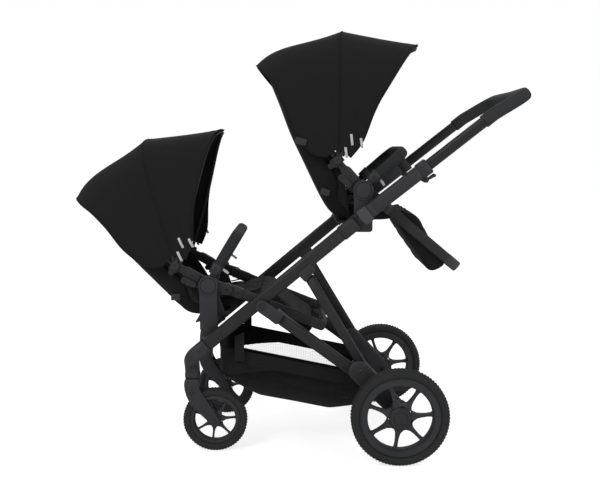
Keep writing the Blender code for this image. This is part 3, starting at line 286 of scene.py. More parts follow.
def joined(name, made, body=None, node=None):
    """Several meshes as one piece."""
    whole = bmesh.new()
    slots = []
    for part in made:
        before = len(whole.faces)
        whole.from_mesh(part.data)
        whole.faces.ensure_lookup_table()
        finish = part.data.materials[0]
        if finish not in slots:
            slots.append(finish)
        for face in list(whole.faces)[before:]:
            face.material_index = slots.index(finish)
    mesh = bpy.data.meshes.new(name)
    whole.to_mesh(mesh)
    whole.free()
    for finish in slots:
        mesh.materials.append(finish)
    for part in made:
        bpy.data.objects.remove(part, do_unlink=True)
    one = bpy.data.objects.new(name, mesh)
    scene.collection.objects.link(one)
    return carried(one, body, node)


def on_line(start, angle, along, aside=0.0):
    """A point in the side view: so far along a direction, and so far to its left."""
    a = math.radians(angle)
    return (start[0] + along * math.cos(a) - aside * math.sin(a),
            start[1] + along * math.sin(a) + aside * math.cos(a))


def ring_faces(rings, size, closed=False, capped=False):
    """Faces between rings of points, back to the first ring or with a cap at each end."""
    faces = []
    for k in range(rings if closed else rings - 1):
        here, there = k * size, (k + 1) % rings * size
        for j in range(size):
            i = (j + 1) % size
            faces.append((here + j, here + i, there + i, there + j))
    if capped:
        faces += [list(range(size)), [(rings - 1) * size + j for j in range(size)]]
    return faces


def turned(name, profile, centre, finish, body=None, node=None, steps=48, angle=35):
    """A (radius, y) profile turned about a crosswise axis. Radius 0 is on the axis."""
    points, marks = [], []
    for r, y in profile:
        for k in range(steps):
            a = 2 * math.pi * k / steps
            points.append(Vector((centre[0] + r * math.cos(a), y, centre[1] + r * math.sin(a))))
            marks.append((r * a, y))
    closed = profile[0][0] > 0 and profile[-1][0] > 0
    return piece(name, points, ring_faces(len(profile), steps, closed), finish, body, node, angle, marks)


def laid(name, tree, values, mesh=None):
    """What a node tree lays from its named values, as a plain mesh in their finish."""
    made = bpy.data.objects.new(name, mesh or bpy.data.meshes.new(name))
    scene.collection.objects.link(made)
    run = made.modifiers.new("laid", "NODES")
    run.node_group = tree
    for item in tree.interface.items_tree:
        if item.in_out == "INPUT" and item.name in values:
            run[item.identifier] = values[item.name]
    applied(made)
    made.data.materials.clear()
    made.data.materials.append(values["Finish"])
    return made


def tread_ring(centre, y, radius, half, count):
    """Tread bars round the tyre, laid by a node tree: one small bar, repeated about the axle."""
    lug = bpy.data.meshes.new("lug")
    shape = bmesh.new()
    bmesh.ops.create_cube(shape, size=1.0)
    for vertex in shape.verts:
        across, round_about, up = vertex.co
        narrow = 0.80 if up > 0 else 1.0
        vertex.co = (across * half * narrow, round_about * 0.0054 * narrow, up * 0.0026)
    shape.to_mesh(lug)
    shape.free()
    seed = bpy.data.objects.new("lug", lug)
    scene.collection.objects.link(seed)
    tree, given, put = group(
        "tread_bars", [("Bars", "Int", None), ("Radius", "Float", None), ("Finish", "Material", None)],
        [("Geometry", "Geometry")], "GeometryNodeTree")
    ring = tree.nodes.new("GeometryNodeMeshCircle")
    bar = new_node(tree, "GeometryNodeObjectInfo", {"Object": seed})
    place = tree.nodes.new("GeometryNodeInputPosition")
    lie = new_node(tree, "FunctionNodeAlignRotationToVector", {"Vector": (0, 0, 1)}, axis="X")
    stand = new_node(tree, "FunctionNodeAlignRotationToVector", axis="Z", pivot_axis="X")
    copies = tree.nodes.new("GeometryNodeInstanceOnPoints")
    real = tree.nodes.new("GeometryNodeRealizeInstances")
    coat = tree.nodes.new("GeometryNodeSetMaterial")
    wired(tree, (given, "Bars", ring, "Vertices"), (given, "Radius", ring, "Radius"),
          (lie, 0, stand, "Rotation"), (place, 0, stand, "Vector"), (ring, "Mesh", copies, "Points"),
          (bar, "Geometry", copies, "Instance"), (stand, 0, copies, "Rotation"),
          (copies, "Instances", real, "Geometry"), (real, "Geometry", coat, "Geometry"),
          (given, "Finish", coat, "Material"), (coat, "Geometry", put, "Geometry"))
    made = laid("bars", tree, {"Bars": count, "Radius": radius, "Finish": TYRE_RUBBER})
    bpy.data.objects.remove(seed, do_unlink=True)
    made.data.transform(Matrix.Rotation(math.radians(90), 4, "X"))
    made.data.transform(Matrix.Translation((centre[0], y, centre[1])))
    return made


def tyre(name, centre, y, outer, seat, half, bars, body, node):
    """A tyre with bulged sidewalls, a bead line, a moulded rib and two rows of tread bars."""
    base = outer - 0.0012
    wall = base - seat
    profile = []
    for share, wide in ((0.0, 0.70), (0.06, 0.84), (0.18, 0.94), (0.22, 0.94), (0.25, 0.99),
                        (0.45, 1.0), (0.50, 0.985), (0.53, 1.0), (0.70, 0.97), (0.82, 0.90),
                        (0.91, 0.78), (0.965, 0.62), (0.99, 0.40), (0.985, 0.10), (0.97, 0.07)):
        profile.append((seat + wall * share, y - half * wide))
    profile += [(r, 2 * y - across) for r, across in reversed(profile)]
    ring = turned(name, profile, centre, TYRE_RUBBER, steps=96, angle=60)
    rows = []
    for side in (-1, 1):
        row = tread_ring(centre, y + side * half * 0.36, base - 0.0001, half * 0.46, bars)
        if side > 0:
            half_pitch = Matrix.Rotation(math.pi / bars, 4, "Y")
            middle = Vector((centre[0], 0, centre[1]))
            row.data.transform(Matrix.Translation(middle) @ half_pitch @ Matrix.Translation(-middle))
        rows.append(row)
    return joined(name, [ring, *rows], body, node)


def wheel(side, centre, y, out, outer, seat, half, deep, hub, bars, body, nodes, cap):
    """A moulded rim with a stepped barrel, seven flared spokes and a hub, and its tyre."""
    inner = seat - deep
    w = half * 0.84
    steps = [(inner + 0.0002, 0.36), (inner + 0.0012, 0.42), (inner + 0.003, 0.90), (inner + 0.0045, 1),
             (seat - 0.0045, 1), (seat - 0.003, 0.90), (seat, 0.86)]
    barrel = [(r, y - w * wide) for r, wide in steps] + [(r, y + w * wide) for r, wide in steps[::-1]]
    parts = [turned("barrel", barrel, centre, RIM_PLASTIC, steps=84, angle=40)]
    turn = 360 / SPOKES
    for k in range(SPOKES):
        way = FIRST_SPOKE + k * turn
        span = inner + 0.002 - hub
        rings = []
        for t, wide, thick in ((0.0, 0.54, 0.60), (0.10, 0.36, 0.52), (0.25, 0.215, 0.42),
                               (0.45, 0.165, 0.34), (0.70, 0.145, 0.30), (0.88, 0.165, 0.30),
                               (0.96, 0.235, 0.33), (1.0, 0.36, 0.36)):
            rings.append((hub + span * t, wide * hub, thick * w))
        outline = [on_line(centre, way, r, b) for r, b, _ in rings]
        outline += [on_line(centre, way, r, -b) for r, b, _ in reversed(rings)]
        size = len(outline)
        thick_at = [t for _, _, t in rings] + [t for _, _, t in reversed(rings)]
        points, faces = [], []
        for s in (-1, 1):
            for (x, z), t in zip(outline, thick_at):
                points.append(Vector((x, y + s * t, z)))
        for j in range(size):
            i = (j + 1) % size
            faces.append((j, i, size + i, size + j))
        count = len(rings)
        for j in range(count - 1):
            for lift in (0, size):
                faces.append((lift + j, lift + j + 1, lift + size - 2 - j, lift + size - 1 - j))
        parts.append(rounded(piece("spoke", points, faces, RIM_PLASTIC), 0.0011, 2, 40))
    h = half * (0.66 if cap else 0.60)
    parts.append(turned("hub", [
        (0, y - h), (hub * 0.94, y - h), (hub, y - h + 0.0015), (hub, y + h - 0.0015),
        (hub * 0.94, y + h), (0, y + h),
    ], centre, RIM_PLASTIC, steps=56))
    face = y + out * half * 0.84
    if cap:
        parts.append(turned("cap", [
            (0, y), (hub * 0.97, y), (hub * 0.97, face - out * 0.0022), (hub * 0.92, face - out * 0.0004),
            (hub * 0.64, face), (hub * 0.62, face - out * 0.0012), (hub * 0.585, face - out * 0.0012),
            (hub * 0.56, face), (0, face),
        ], centre, DARK_PLASTIC, steps=56, angle=30))
    else:
        for s in (-1, 1):
            parts.append(turned("cap", [
                (0, y + s * h * 0.5), (hub * 0.62, y + s * h * 0.5), (hub * 0.62, y + s * (h + 0.002)),
                (hub * 0.55, y + s * (h + 0.0028)), (0, y + s * (h + 0.0028)),
            ], centre, DARK_PLASTIC, steps=40, angle=30))
    joined("wheel_rim_" + side, parts, body, nodes[0])
    tyre("wheel_tyre_" + side, centre, y, outer, seat + 0.0002, half, bars, body, nodes[1])


for tag, way in (("l", -1), ("r", 1)):
    wheel("rear_" + tag, REAR_AXLE, way * REAR_WHEEL_Y, way, REAR_WHEEL_R, 0.1155,
          REAR_TYRE_W / 2, 0.0235, 0.032, 88, "rear_wheel_" + tag,
          ("rear_rim_" + tag, "rear_tyre_" + tag), True)
    wheel("front_" + tag, FRONT_AXLE, way * FRONT_WHEEL_Y, way, FRONT_WHEEL_R, 0.0735,
          FRONT_TYRE_W / 2, 0.0135, 0.019, 66, "front_wheel_" + tag,
          ("front_rim_" + tag, "front_tyre_" + tag), False)


# Rear unit. Two rectangular legs and two lower struts are pushed into a moulded axle housing on
# each side, and a steel axle with the brake pedal runs between them. Coated aluminium tube.
ELBOW = (REAR_AXLE[0] - 0.600, 0.291)
TUBE_ANGLE = 39.8
TUBE_LENGTH = 0.6497
TUBE_Y = 0.205
TUBE_HALF = (0.019, 0.0155)


def tube_point(along, aside=0.0):
    return on_line(ELBOW, TUBE_ANGLE, along, aside)


JOINT = tube_point(TUBE_LENGTH)
STRUT_PIVOT = tube_point(0.261, -0.013)
LEG_CATCH = tube_point(0.418, -TUBE_HALF[0] - 0.006)
STRUT_FOOT = (REAR_AXLE[0] - 0.126, REAR_AXLE[1] + 0.112)
LEG_FOOT = (REAR_AXLE[0] - 0.107, REAR_AXLE[1] + 0.138)
KNEE = (REAR_AXLE[0] - 0.112, REAR_AXLE[1] + 0.116)
STRUT_WAY = math.degrees(math.atan2(STRUT_FOOT[1] - STRUT_PIVOT[1], STRUT_FOOT[0] - STRUT_PIVOT[0]))
LEG_WAY = math.degrees(math.atan2(LEG_FOOT[1] - LEG_CATCH[1], LEG_FOOT[0] - LEG_CATCH[0]))
FLAT_TUBE = 3.6

BLACK_TUBE = hard_finish("black_tube", (0.0215, 0.0215, 0.0235), (0.027, 0.027, 0.029), 0.46,
                         1300.0, 0.00008)
GREY_PLASTIC = hard_finish("grey_plastic", (0.037, 0.037, 0.042), (0.046, 0.046, 0.051), 0.52)
STEEL = hard_finish("steel", (0.12, 0.12, 0.125), (0.16, 0.16, 0.165), 0.35, 1500.0, 0.00004, 1.0)


def in_space(point, y):
    return Vector((point[0], y, point[1]))


def marked(start, angle, *marks):
    """Points in the side view, each so far along a direction and so far to its left."""
    return [on_line(start, angle, along, aside) for along, aside in marks]


def arc(centre, radius, first, last, steps):
    """Points on a circle in the side view, between two angles in degrees."""
    return [on_line(centre, first + (last - first) * k / steps, radius) for k in range(steps + 1)]


def oval(half_n, half_b, sides=32, power=2.6):
    """A rounded section: half_n along the path's normal, half_b across it."""
    section = []
    for k in range(sides):
        a = 2 * math.pi * (k + 0.5) / sides
        c, s = math.cos(a), math.sin(a)
        section.append((half_n * math.copysign(abs(c) ** (2 / power), c),
                        half_b * math.copysign(abs(s) ** (2 / power), s)))
    return section


def drawn(name, path, section, finish, body=None, node=None, side=Vector((0, 1, 0)), normal=None,
          ends=0.0015, angle=50):
    """A section drawn along a path, with its ends closed and rounded over by ends metres."""
    path = [Vector(p) for p in path]
    if ends:
        first = path[0] + (path[1] - path[0]).normalized() * ends
        last = path[-1] + (path[-2] - path[-1]).normalized() * ends
        path = [path[0], first] + path[1:-1] + [last, path[-1]]
    points, marks = [], []
    along = 0.0
    reach = max(abs(u) for u, _ in section)
    for k, point in enumerate(path):
        ahead = path[min(k + 1, len(path) - 1)] - point
        behind = point - path[max(k - 1, 0)]
        along += behind.length
        t = (ahead.normalized() + behind.normalized()).normalized()
        if normal is None:
            b = (side - side.dot(t) * t).normalized()
            n = b.cross(t)
        else:
            n = (normal - normal.dot(t) * t).normalized()
            b = t.cross(n)
        size = 1 - ends / reach if ends and k in (0, len(path) - 1) else 1
        for u, v in section:
            points.append(point + n * u * size + b * v * size)
            marks.append((along, math.atan2(v, u) * reach))
    faces = ring_faces(len(path), len(section), capped=True)
    return piece(name, points, faces, finish, body, node, angle, marks)


def plate(name, outline, y0, y1, finish, body=None, node=None, edge=0.0012, segments=3):
    """A plate cut to an outline in the side view, between two Y planes, its edges rounded."""
    size = len(outline)
    points = [Vector((x, y, z)) for y in (y0, y1) for x, z in outline]
    made = piece(name, points, ring_faces(2, size, capped=True), finish)
    return carried(rounded(made, edge, segments, 28), body, node)


def link_outline(a, ra, b, rb, steps=14):
    """The hull of two circles, as a lever or an arm has it."""
    way = math.degrees(math.atan2(b[1] - a[1], b[0] - a[0]))
    lean = math.degrees(math.asin((ra - rb) / math.hypot(b[0] - a[0], b[1] - a[1])))
    return (arc(b, rb, way - 90 + lean, way + 90 - lean, steps)
            + arc(a, ra, way + 90 - lean, way + 270 + lean, steps))


def screw(name, centre, y, out, radius, finish):
    """A pan-head screw with a recess, seen from the side it points to."""
    return turned(name, [(0, y), (radius * 0.45, y), (radius * 0.45, y + out * 0.0012),
                         (radius * 0.8, y + out * 0.0013), (radius, y + out * 0.0004),
                         (radius, y - out * 0.0012), (0, y - out * 0.0012)],
                  centre, finish, steps=18, angle=25)


def pin(centre, radius, y0, y1, steps, finish=None):
    """A plain round pin or rod across the stroller, between two Y planes."""
    return turned("pin", [(0, y0), (radius, y0), (radius, y1), (0, y1)], centre, finish or STEEL,
                  steps=steps)


def other_side(made, name, body, node=None):
    """The right side's piece: a copy with Y turned round."""
    mesh = made.data.copy()
    mesh.name = name
    copy = bpy.data.objects.new(name, mesh)
    scene.collection.objects.link(copy)
    shaped = bmesh.new()
    shaped.from_mesh(mesh)
    for vertex in shaped.verts:
        vertex.co.y = -vertex.co.y
    bmesh.ops.reverse_faces(shaped, faces=shaped.faces)
    shaped.to_mesh(mesh)
    shaped.free()
    return carried(copy, body, node)


def straight(name, start, end, y, half_n, half_b, finish, power=FLAT_TUBE):
    """A length of flat tube in the side view."""
    return drawn(name, [in_space(start, y), in_space(end, y)], oval(half_n, half_b, 40, power),
                 finish, ends=0.002)


eye_in, eye_out = -TUBE_Y - 0.018, -TUBE_Y - 0.0265
strut = joined("strut", [
    straight("bar", on_line(STRUT_PIVOT, STRUT_WAY, 0.050), STRUT_FOOT, -TUBE_Y, 0.0172, 0.0145,
             BLACK_TUBE),
    plate("eye", link_outline(STRUT_PIVOT, 0.0185, on_line(STRUT_PIVOT, STRUT_WAY, 0.048), 0.0176),
          eye_in, eye_out, GREY_PLASTIC, edge=0.0025),
    plate("shoe", marked(STRUT_PIVOT, STRUT_WAY,
        (0.044, -0.0182), (0.063, -0.0182), (0.066, -0.012), (0.066, 0.012), (0.063, 0.0182),
        (0.044, 0.0182)), -TUBE_Y + 0.0158, eye_out + 0.0002, GREY_PLASTIC, edge=0.0022),
    pin(STRUT_PIVOT, 0.0049, -TUBE_Y - 0.0028, eye_out + 0.001, 24),
    turned("pin_cap", [(0, eye_out), (0.0125, eye_out), (0.0115, eye_out - 0.0012),
                       (0.0085, eye_out - 0.0012), (0.0080, eye_out - 0.0004),
                       (0, eye_out - 0.0004)], STRUT_PIVOT, DARK_PLASTIC, steps=40),
    screw("rivet", on_line(STRUT_PIVOT, STRUT_WAY, 0.054), eye_out, -1, 0.0042, STEEL),
], "rear_frame", "lower_strut_l")
other_side(strut, "strut_right", "rear_frame", "lower_strut_r")

saddle = marked(ELBOW, TUBE_ANGLE,
    (0.398, -0.0195), (0.400, -0.0385), (0.441, -0.0325), (0.4435, -0.0195), (0.444, -0.0062),
    (0.400, -0.0062))
leg = joined("leg", [
    straight("bar", on_line(LEG_CATCH, LEG_WAY, 0.012), LEG_FOOT, -TUBE_Y, 0.0142, 0.0135, BLACK_TUBE),
    *[plate("cheek", saddle, -TUBE_Y + s * 0.0161, -TUBE_Y + s * 0.0185, GREY_PLASTIC, edge=0.0008)
      for s in (-1, 1)],
    plate("socket", marked(ELBOW, TUBE_ANGLE,
        (0.3985, -0.0198), (0.4005, -0.0385), (0.4415, -0.0325), (0.4435, -0.0198)),
          -TUBE_Y - 0.0180, -TUBE_Y + 0.0180, GREY_PLASTIC, edge=0.0018),
    screw("rivet", tube_point(0.421, -0.0285), -TUBE_Y - 0.0185, -1, 0.0040, STEEL),
], "rear_frame", "rear_leg_l")
other_side(leg, "leg_right", "rear_frame", "rear_leg_r")

inner_y, outer_y = -TUBE_Y + 0.0165, -TUBE_Y - 0.0175
housing = joined("axle_housing", [
    plate("shell", link_outline(KNEE, 0.031, REAR_AXLE, 0.026, 18), inner_y, outer_y, GREY_PLASTIC,
          edge=0.0045, segments=4),
    plate("panel", link_outline(on_line(KNEE, 0, -0.002), 0.0215, REAR_AXLE, 0.017, 16), outer_y + 0.002,
          outer_y - 0.0012, DARK_PLASTIC, edge=0.0010),
    turned("drum", [
        (0, outer_y + 0.006), (0.0335, outer_y + 0.006), (0.0340, outer_y + 0.004),
        (0.0340, outer_y - 0.009), (0.0325, outer_y - 0.0125), (0.0300, outer_y - 0.0190),
        (0.0285, outer_y - 0.0205), (0.0200, outer_y - 0.0272), (0, outer_y - 0.0285),
    ], REAR_AXLE, DARK_PLASTIC, steps=56, angle=24),
    screw("bolt", on_line(KNEE, 0, 0.004), outer_y - 0.0012, -1, 0.0048, STEEL),
    screw("bolt", on_line(KNEE, -47, 0.052), outer_y - 0.0012, -1, 0.0042, STEEL),
], "rear_frame", "axle_housing_l")
other_side(housing, "axle_housing_right", "rear_frame", "axle_housing_r")

reach = REAR_WHEEL_Y + REAR_TYRE_W * 0.42 * 0.62
turned("rear_axle_tube", [
    (0, -reach), (0.0055, -reach), (0.006, -reach + 0.0005), (0.006, -TUBE_Y - 0.042),
    (0.0085, -TUBE_Y - 0.0415), (0.0085, -0.10), (0.0092, -0.098), (0.0092, 0.098), (0.0085, 0.10),
    (0.0085, TUBE_Y + 0.0415), (0.006, TUBE_Y + 0.042), (0.006, reach - 0.0005), (0.0055, reach),
    (0, reach),
], REAR_AXLE, BLACK_TUBE, "rear_frame", "rear_axle")

# Brake pedal: a rocker moulded in one piece, which turns on the axle tube. Ribs of rubber on its
# tread plate give the foot its hold.
pedal_profile = arc(REAR_AXLE, 0.0150, 60, 340, 22) + marked(
    REAR_AXLE, 0, (0.060, 0.0), (0.0815, 0.0138), (0.0795, 0.0218), (0.056, 0.0100))
rib = marked(REAR_AXLE, 0, (0.0590, 0.0122), (0.0775, 0.0208), (0.0769, 0.0222), (0.0584, 0.0136))
pedal = [plate("rocker", pedal_profile, -0.030, 0.030, DARK_PLASTIC, edge=0.0022)]
for k in range(9):
    y = -0.024 + 0.006 * k
    pedal.append(plate("rib", rib, y - 0.0014, y + 0.0014, TYRE_RUBBER, edge=0.0004, segments=1))
joined("brake_rocker", pedal, "brake", "brake_pedal")


# Front unit. Two rectangular main tubes run up from the yoke, whose sleeves turn down and inwards
# into the caster sockets, with a round crossbar between them. Aluminium, with glass-filled sleeves.
CASTER_TRAIL = 0.0654
SWIVEL_X = FRONT_AXLE[0] - CASTER_TRAIL
SOCKET_Z = FRONT_WHEEL_R + 0.1275


def fillet(points, radius, steps=8):
    """The path with each corner rounded."""
    points = [Vector(p) for p in points]
    path = [points[0]]
    for before, corner, after in zip(points, points[1:], points[2:]):
        u = (before - corner).normalized()
        v = (after - corner).normalized()
        turn = math.pi - u.angle(v)
        reach = min(radius * math.tan(turn / 2), (before - corner).length * 0.49,
                    (after - corner).length * 0.49)
        for k in range(steps + 1):
            t = k / steps
            path.append(corner + u * reach * (1 - t) ** 2 + v * reach * t ** 2)
    path.append(points[-1])
    return path


tube = joined("main_tube", [
    straight("bar", tube_point(0.030), tube_point(TUBE_LENGTH - 0.034), -TUBE_Y, *TUBE_HALF,
             BLACK_TUBE),
    *[screw("rivet", tube_point(along), -TUBE_Y - 0.0155, -1, 0.0034, DARK_PLASTIC)
      for along in (0.118, 0.545)],
], "front_frame", "main_tube_l")
other_side(tube, "main_tube_right", "front_frame", "main_tube_r")

elbow_path = fillet([
    in_space(tube_point(0.062), -TUBE_Y), in_space(tube_point(0.004), -TUBE_Y),
    Vector((SWIVEL_X, -FRONT_WHEEL_Y - 0.010, SOCKET_Z + 0.045)),
    Vector((SWIVEL_X, -FRONT_WHEEL_Y, SOCKET_Z + 0.020)),
    Vector((SWIVEL_X, -FRONT_WHEEL_Y, SOCKET_Z + 0.0004)),
], 0.045, 10)
sleeve = drawn("sleeve", elbow_path, oval(0.0215, 0.0185, 44, 3.0), GREY_PLASTIC, ends=0.0025)
collar_in = drawn("collar", [in_space(tube_point(0.054), -TUBE_Y), in_space(tube_point(0.0635), -TUBE_Y)],
                  oval(0.0226, 0.0194, 44, 3.0), GREY_PLASTIC, ends=0.0016)
cap = drawn("cap", [Vector((SWIVEL_X, -FRONT_WHEEL_Y, SOCKET_Z + 0.016)),
                    Vector((SWIVEL_X, -FRONT_WHEEL_Y, SOCKET_Z + 0.0004))],
            oval(0.0224, 0.0192, 44, 3.0), GREY_PLASTIC, ends=0.0012)
bolt = screw("bolt", tube_point(0.040), -TUBE_Y - 0.0185, -1, 0.0045, STEEL)
left = joined("yoke_left", [sleeve, collar_in, cap, bolt])
right = other_side(left, "yoke_half", "front_frame")
rod = pin((ELBOW[0] + 0.004, ELBOW[1] - 0.020), 0.0110, -FRONT_WHEEL_Y - 0.030, FRONT_WHEEL_Y + 0.030,
          48, BLACK_TUBE)
joined("front_yoke_dressed", [left, right, rod], "front_frame", "front_yoke")

# Casters: a fork moulded in one piece, with a crown and two blades down to the axle bolt, swivels
# on a steel stem in the yoke's socket.
BLADE_Y = FRONT_TYRE_W / 2 + 0.0025
SOCKET = (SWIVEL_X, SOCKET_Z)
blade = [
    *marked(SOCKET, 0, (-0.0210, -0.004), (-0.0228, -0.020), (-0.0212, -0.034), (-0.0172, -0.050),
            (-0.0040, -0.078)),
    *arc(FRONT_AXLE, 0.0145, 215, 395, 16),
    *marked(SOCKET, 0, (0.0340, -0.050), (0.0225, -0.030), (0.0197, -0.016), (0.0195, -0.004)),
]
y = -FRONT_WHEEL_Y
out_y = y - BLADE_Y - 0.006
far_y = 2 * y - out_y
lock_at = (SWIVEL_X + 0.001, SOCKET_Z - 0.038)
crown = marked(SOCKET, 0, (-0.0205, 0), (-0.0232, -0.012), (-0.0232, -0.024), (-0.0195, -0.036),
               (0.0200, -0.034), (0.0215, 0))
fork = joined("caster_fork", [
    plate("crown", crown, out_y, y + BLADE_Y + 0.006, GREY_PLASTIC, edge=0.0050, segments=4),
    *[plate("blade", blade, y + s * BLADE_Y, y + s * (BLADE_Y + 0.0062), GREY_PLASTIC, edge=0.0022)
      for s in (-1, 1)],
    drawn("stem", [(SWIVEL_X, y, SOCKET_Z - 0.01), (SWIVEL_X, y, SOCKET_Z + 0.029)],
          oval(0.0063, 0.0063, 24, 2), STEEL),
    turned("axle", [(0, out_y - 0.0016), (0.0062, out_y - 0.0016), (0.0068, out_y - 0.0008),
                    (0.0068, out_y + 0.002), (0.0048, out_y + 0.002), (0.0048, far_y - 0.002),
                    (0.0068, far_y - 0.002), (0.0068, far_y + 0.0008), (0.0062, far_y + 0.0016),
                    (0, far_y + 0.0016)],
           FRONT_AXLE, DARK_PLASTIC, steps=28, angle=25),
    screw("bolt", FRONT_AXLE, out_y - 0.0016, -1, 0.0034, STEEL),
    turned("lock", [(0, out_y + 0.001), (0.0068, out_y + 0.001), (0.0068, out_y - 0.0006),
                    (0.0058, out_y - 0.0016), (0, out_y - 0.0016)],
           lock_at, DARK_PLASTIC, steps=28, angle=25),
    screw("bolt", lock_at, out_y - 0.0016, -1, 0.0034, STEEL),
], "caster_l", "caster_fork_l")
other_side(fork, "caster_fork_right", "caster_r", "caster_fork_r")

# Fold joints: an inner lug at the end of the main tube, and an outer lug on the chassis housing,
# on one pin whose lighter cover wraps the joint. Glass-filled nylon.
HANDLE_ANGLE = 38.3
HANDLE_Y = TUBE_Y + 0.0025
HOUSING_LENGTH = 0.225
BRIGHT_PLASTIC = hard_finish("bright_plastic", (0.068, 0.068, 0.072), (0.082, 0.082, 0.087), 0.45)


def handle_point(along, aside=0.0):
    return on_line(JOINT, HANDLE_ANGLE, along, aside)


lug = joined("fold_lug", [
    straight("sleeve", tube_point(TUBE_LENGTH - 0.085), tube_point(TUBE_LENGTH - 0.031), -TUBE_Y,
             0.0215, 0.0185, DARK_PLASTIC),
    plate("lug", [*arc(JOINT, 0.0205, TUBE_ANGLE - 90, TUBE_ANGLE + 90, 20),
                  tube_point(TUBE_LENGTH - 0.0330, 0.0195), tube_point(TUBE_LENGTH - 0.0330, -0.0195)],
          -TUBE_Y + 0.0185, -TUBE_Y - 0.0015, DARK_PLASTIC, edge=0.0010),
], "front_frame", "fold_lug_l")
other_side(lug, "fold_lug_right", "front_frame", "fold_lug_r")

upper_n, upper_b = 0.0200, 0.0175
HOUSING_SQUARE = 4.2
collar_at = HOUSING_LENGTH - 0.032
trigger_at = collar_at + 0.004
upper = joined("chassis_housing", [
    straight("shell", handle_point(0.031), handle_point(HOUSING_LENGTH - 0.006), -HANDLE_Y,
             upper_n, upper_b, GREY_PLASTIC, HOUSING_SQUARE),
    straight("collar", handle_point(collar_at), handle_point(HOUSING_LENGTH), -HANDLE_Y,
             upper_n + 0.0028, upper_b + 0.0022, GREY_PLASTIC, HOUSING_SQUARE),
    plate("lug", [*arc(JOINT, 0.0205, HANDLE_ANGLE + 90, HANDLE_ANGLE + 270, 20),
                  handle_point(0.033, -0.0185), handle_point(0.033, 0.0185)],
          -TUBE_Y - 0.0020, -TUBE_Y - 0.0195, GREY_PLASTIC, edge=0.0012),
    plate("shelf", marked(handle_point(trigger_at, -upper_n), HANDLE_ANGLE, (-0.016, 0.003),
                          (0.006, 0.003), (0.006, -0.013), (-0.004, -0.0165), (-0.010, -0.0120)),
          -HANDLE_Y - 0.008, -HANDLE_Y + 0.008, DARK_PLASTIC, edge=0.0015),
    plate("badge_field", marked(JOINT, HANDLE_ANGLE,
        (0.050, -0.0125), (0.168, -0.0125), (0.170, -0.0105), (0.170, 0.0105), (0.168, 0.0125),
        (0.050, 0.0125), (0.048, 0.0105), (0.048, -0.0105)),
          -HANDLE_Y - 0.0165, -HANDLE_Y - 0.0180, GREY_PLASTIC, edge=0.0005, segments=2),
], "handle_carrier", "upper_housing_l")
other_side(upper, "chassis_housing_right", "handle_carrier", "upper_housing_r")

cover_out = -TUBE_Y - 0.0290
cover = joined("joint_cover", [
    plate("band", marked(JOINT, HANDLE_ANGLE,
        (-0.010, -0.0232), (-0.004, -0.0240), (0.010, -0.0240), (0.014, -0.0215), (0.0150, 0.0),
        (0.014, 0.0232), (-0.012, 0.0240), (-0.0150, 0.0215), (-0.0160, 0.0), (-0.0145, -0.0190)),
          -TUBE_Y - 0.0240, cover_out, BRIGHT_PLASTIC, edge=0.0018),
    pin(JOINT, 0.0049, -TUBE_Y - 0.0250, -TUBE_Y + 0.0170, 24),
], "handle_carrier", "joint_cover_l")
other_side(cover, "joint_cover_right", "handle_carrier", "joint_cover_r")

trigger = plate("telescope_button", marked(
    handle_point(trigger_at, -upper_n - 0.0068), HANDLE_ANGLE, (0.0064, 0), (0.0250, 0),
    (0.0290, -0.0068), (0.0262, -0.0095), (0.0230, -0.0108), (0.0170, -0.0085), (0.0064, -0.0068)),
    -HANDLE_Y - 0.0075, -HANDLE_Y + 0.0075, DARK_PLASTIC, "trigger_l", "telescope_trigger_l", 0.0012)
other_side(trigger, "telescope_button_right", "trigger_r", "telescope_trigger_r")

# Push handle: one bent aluminium tube that slides in the housings. A foam grip with a moulded ring
# at each end is pulled over its bend.
FOAM = hard_finish("foam_grip", (0.040, 0.0415, 0.044), (0.050, 0.0515, 0.054), 0.86, 520.0, 0.00035)
corner = on_line(JOINT, HANDLE_ANGLE - 1.4, 0.562)
top_bar = on_line(JOINT, HANDLE_ANGLE - 1.9, 0.568)
bend = handle_point(0.455)


def square_to(angle):
    """The direction in the side view that stands square to an angle."""
    a = math.radians(angle)
    return Vector((-math.sin(a), 0, math.cos(a)))


def handle_path(start, steps=14):
    return fillet([
        in_space(handle_point(start), -HANDLE_Y), in_space(bend, -HANDLE_Y),
        in_space(corner, -HANDLE_Y + 0.006), in_space(top_bar, 0), in_space(corner, HANDLE_Y - 0.006),
        in_space(bend, HANDLE_Y), in_space(handle_point(start), HANDLE_Y)], 0.095, steps)


drawn("push_handle_tube", handle_path(0.160), oval(0.0155, 0.0135, 32, 2.8), BLACK_TUBE, "handle",
      "push_handle", normal=square_to(HANDLE_ANGLE))
grip = drawn("grip_foam", handle_path(0.421), oval(0.0186, 0.0168, 40, 2.6), FOAM,
             normal=square_to(HANDLE_ANGLE), ends=0.0035)
rings = [drawn("grip_end", [in_space(handle_point(along), s * HANDLE_Y) for along in (0.418, 0.426)],
               oval(0.0188, 0.0170, 40, 2.6), DARK_PLASTIC, normal=square_to(HANDLE_ANGLE), ends=0.001)
         for s in (-1, 1)]
joined("hand_grip", [grip, *rings], "handle", "handle_grip")


# Seat mounts. A moulded bracket stands on each main tube and carries the seat's round hub, which
# is a stepped disc with a push cap. The upper pair straddles the fold joint.
SEAT_HUB = {"upper": tube_point(0.6916, 0.0537), "lower": tube_point(0.1737, 0.1273)}
BRACKET_IN, BRACKET_OUT = -TUBE_Y + 0.0370, -TUBE_Y + 0.0193
HUB_RIM = 0.0282


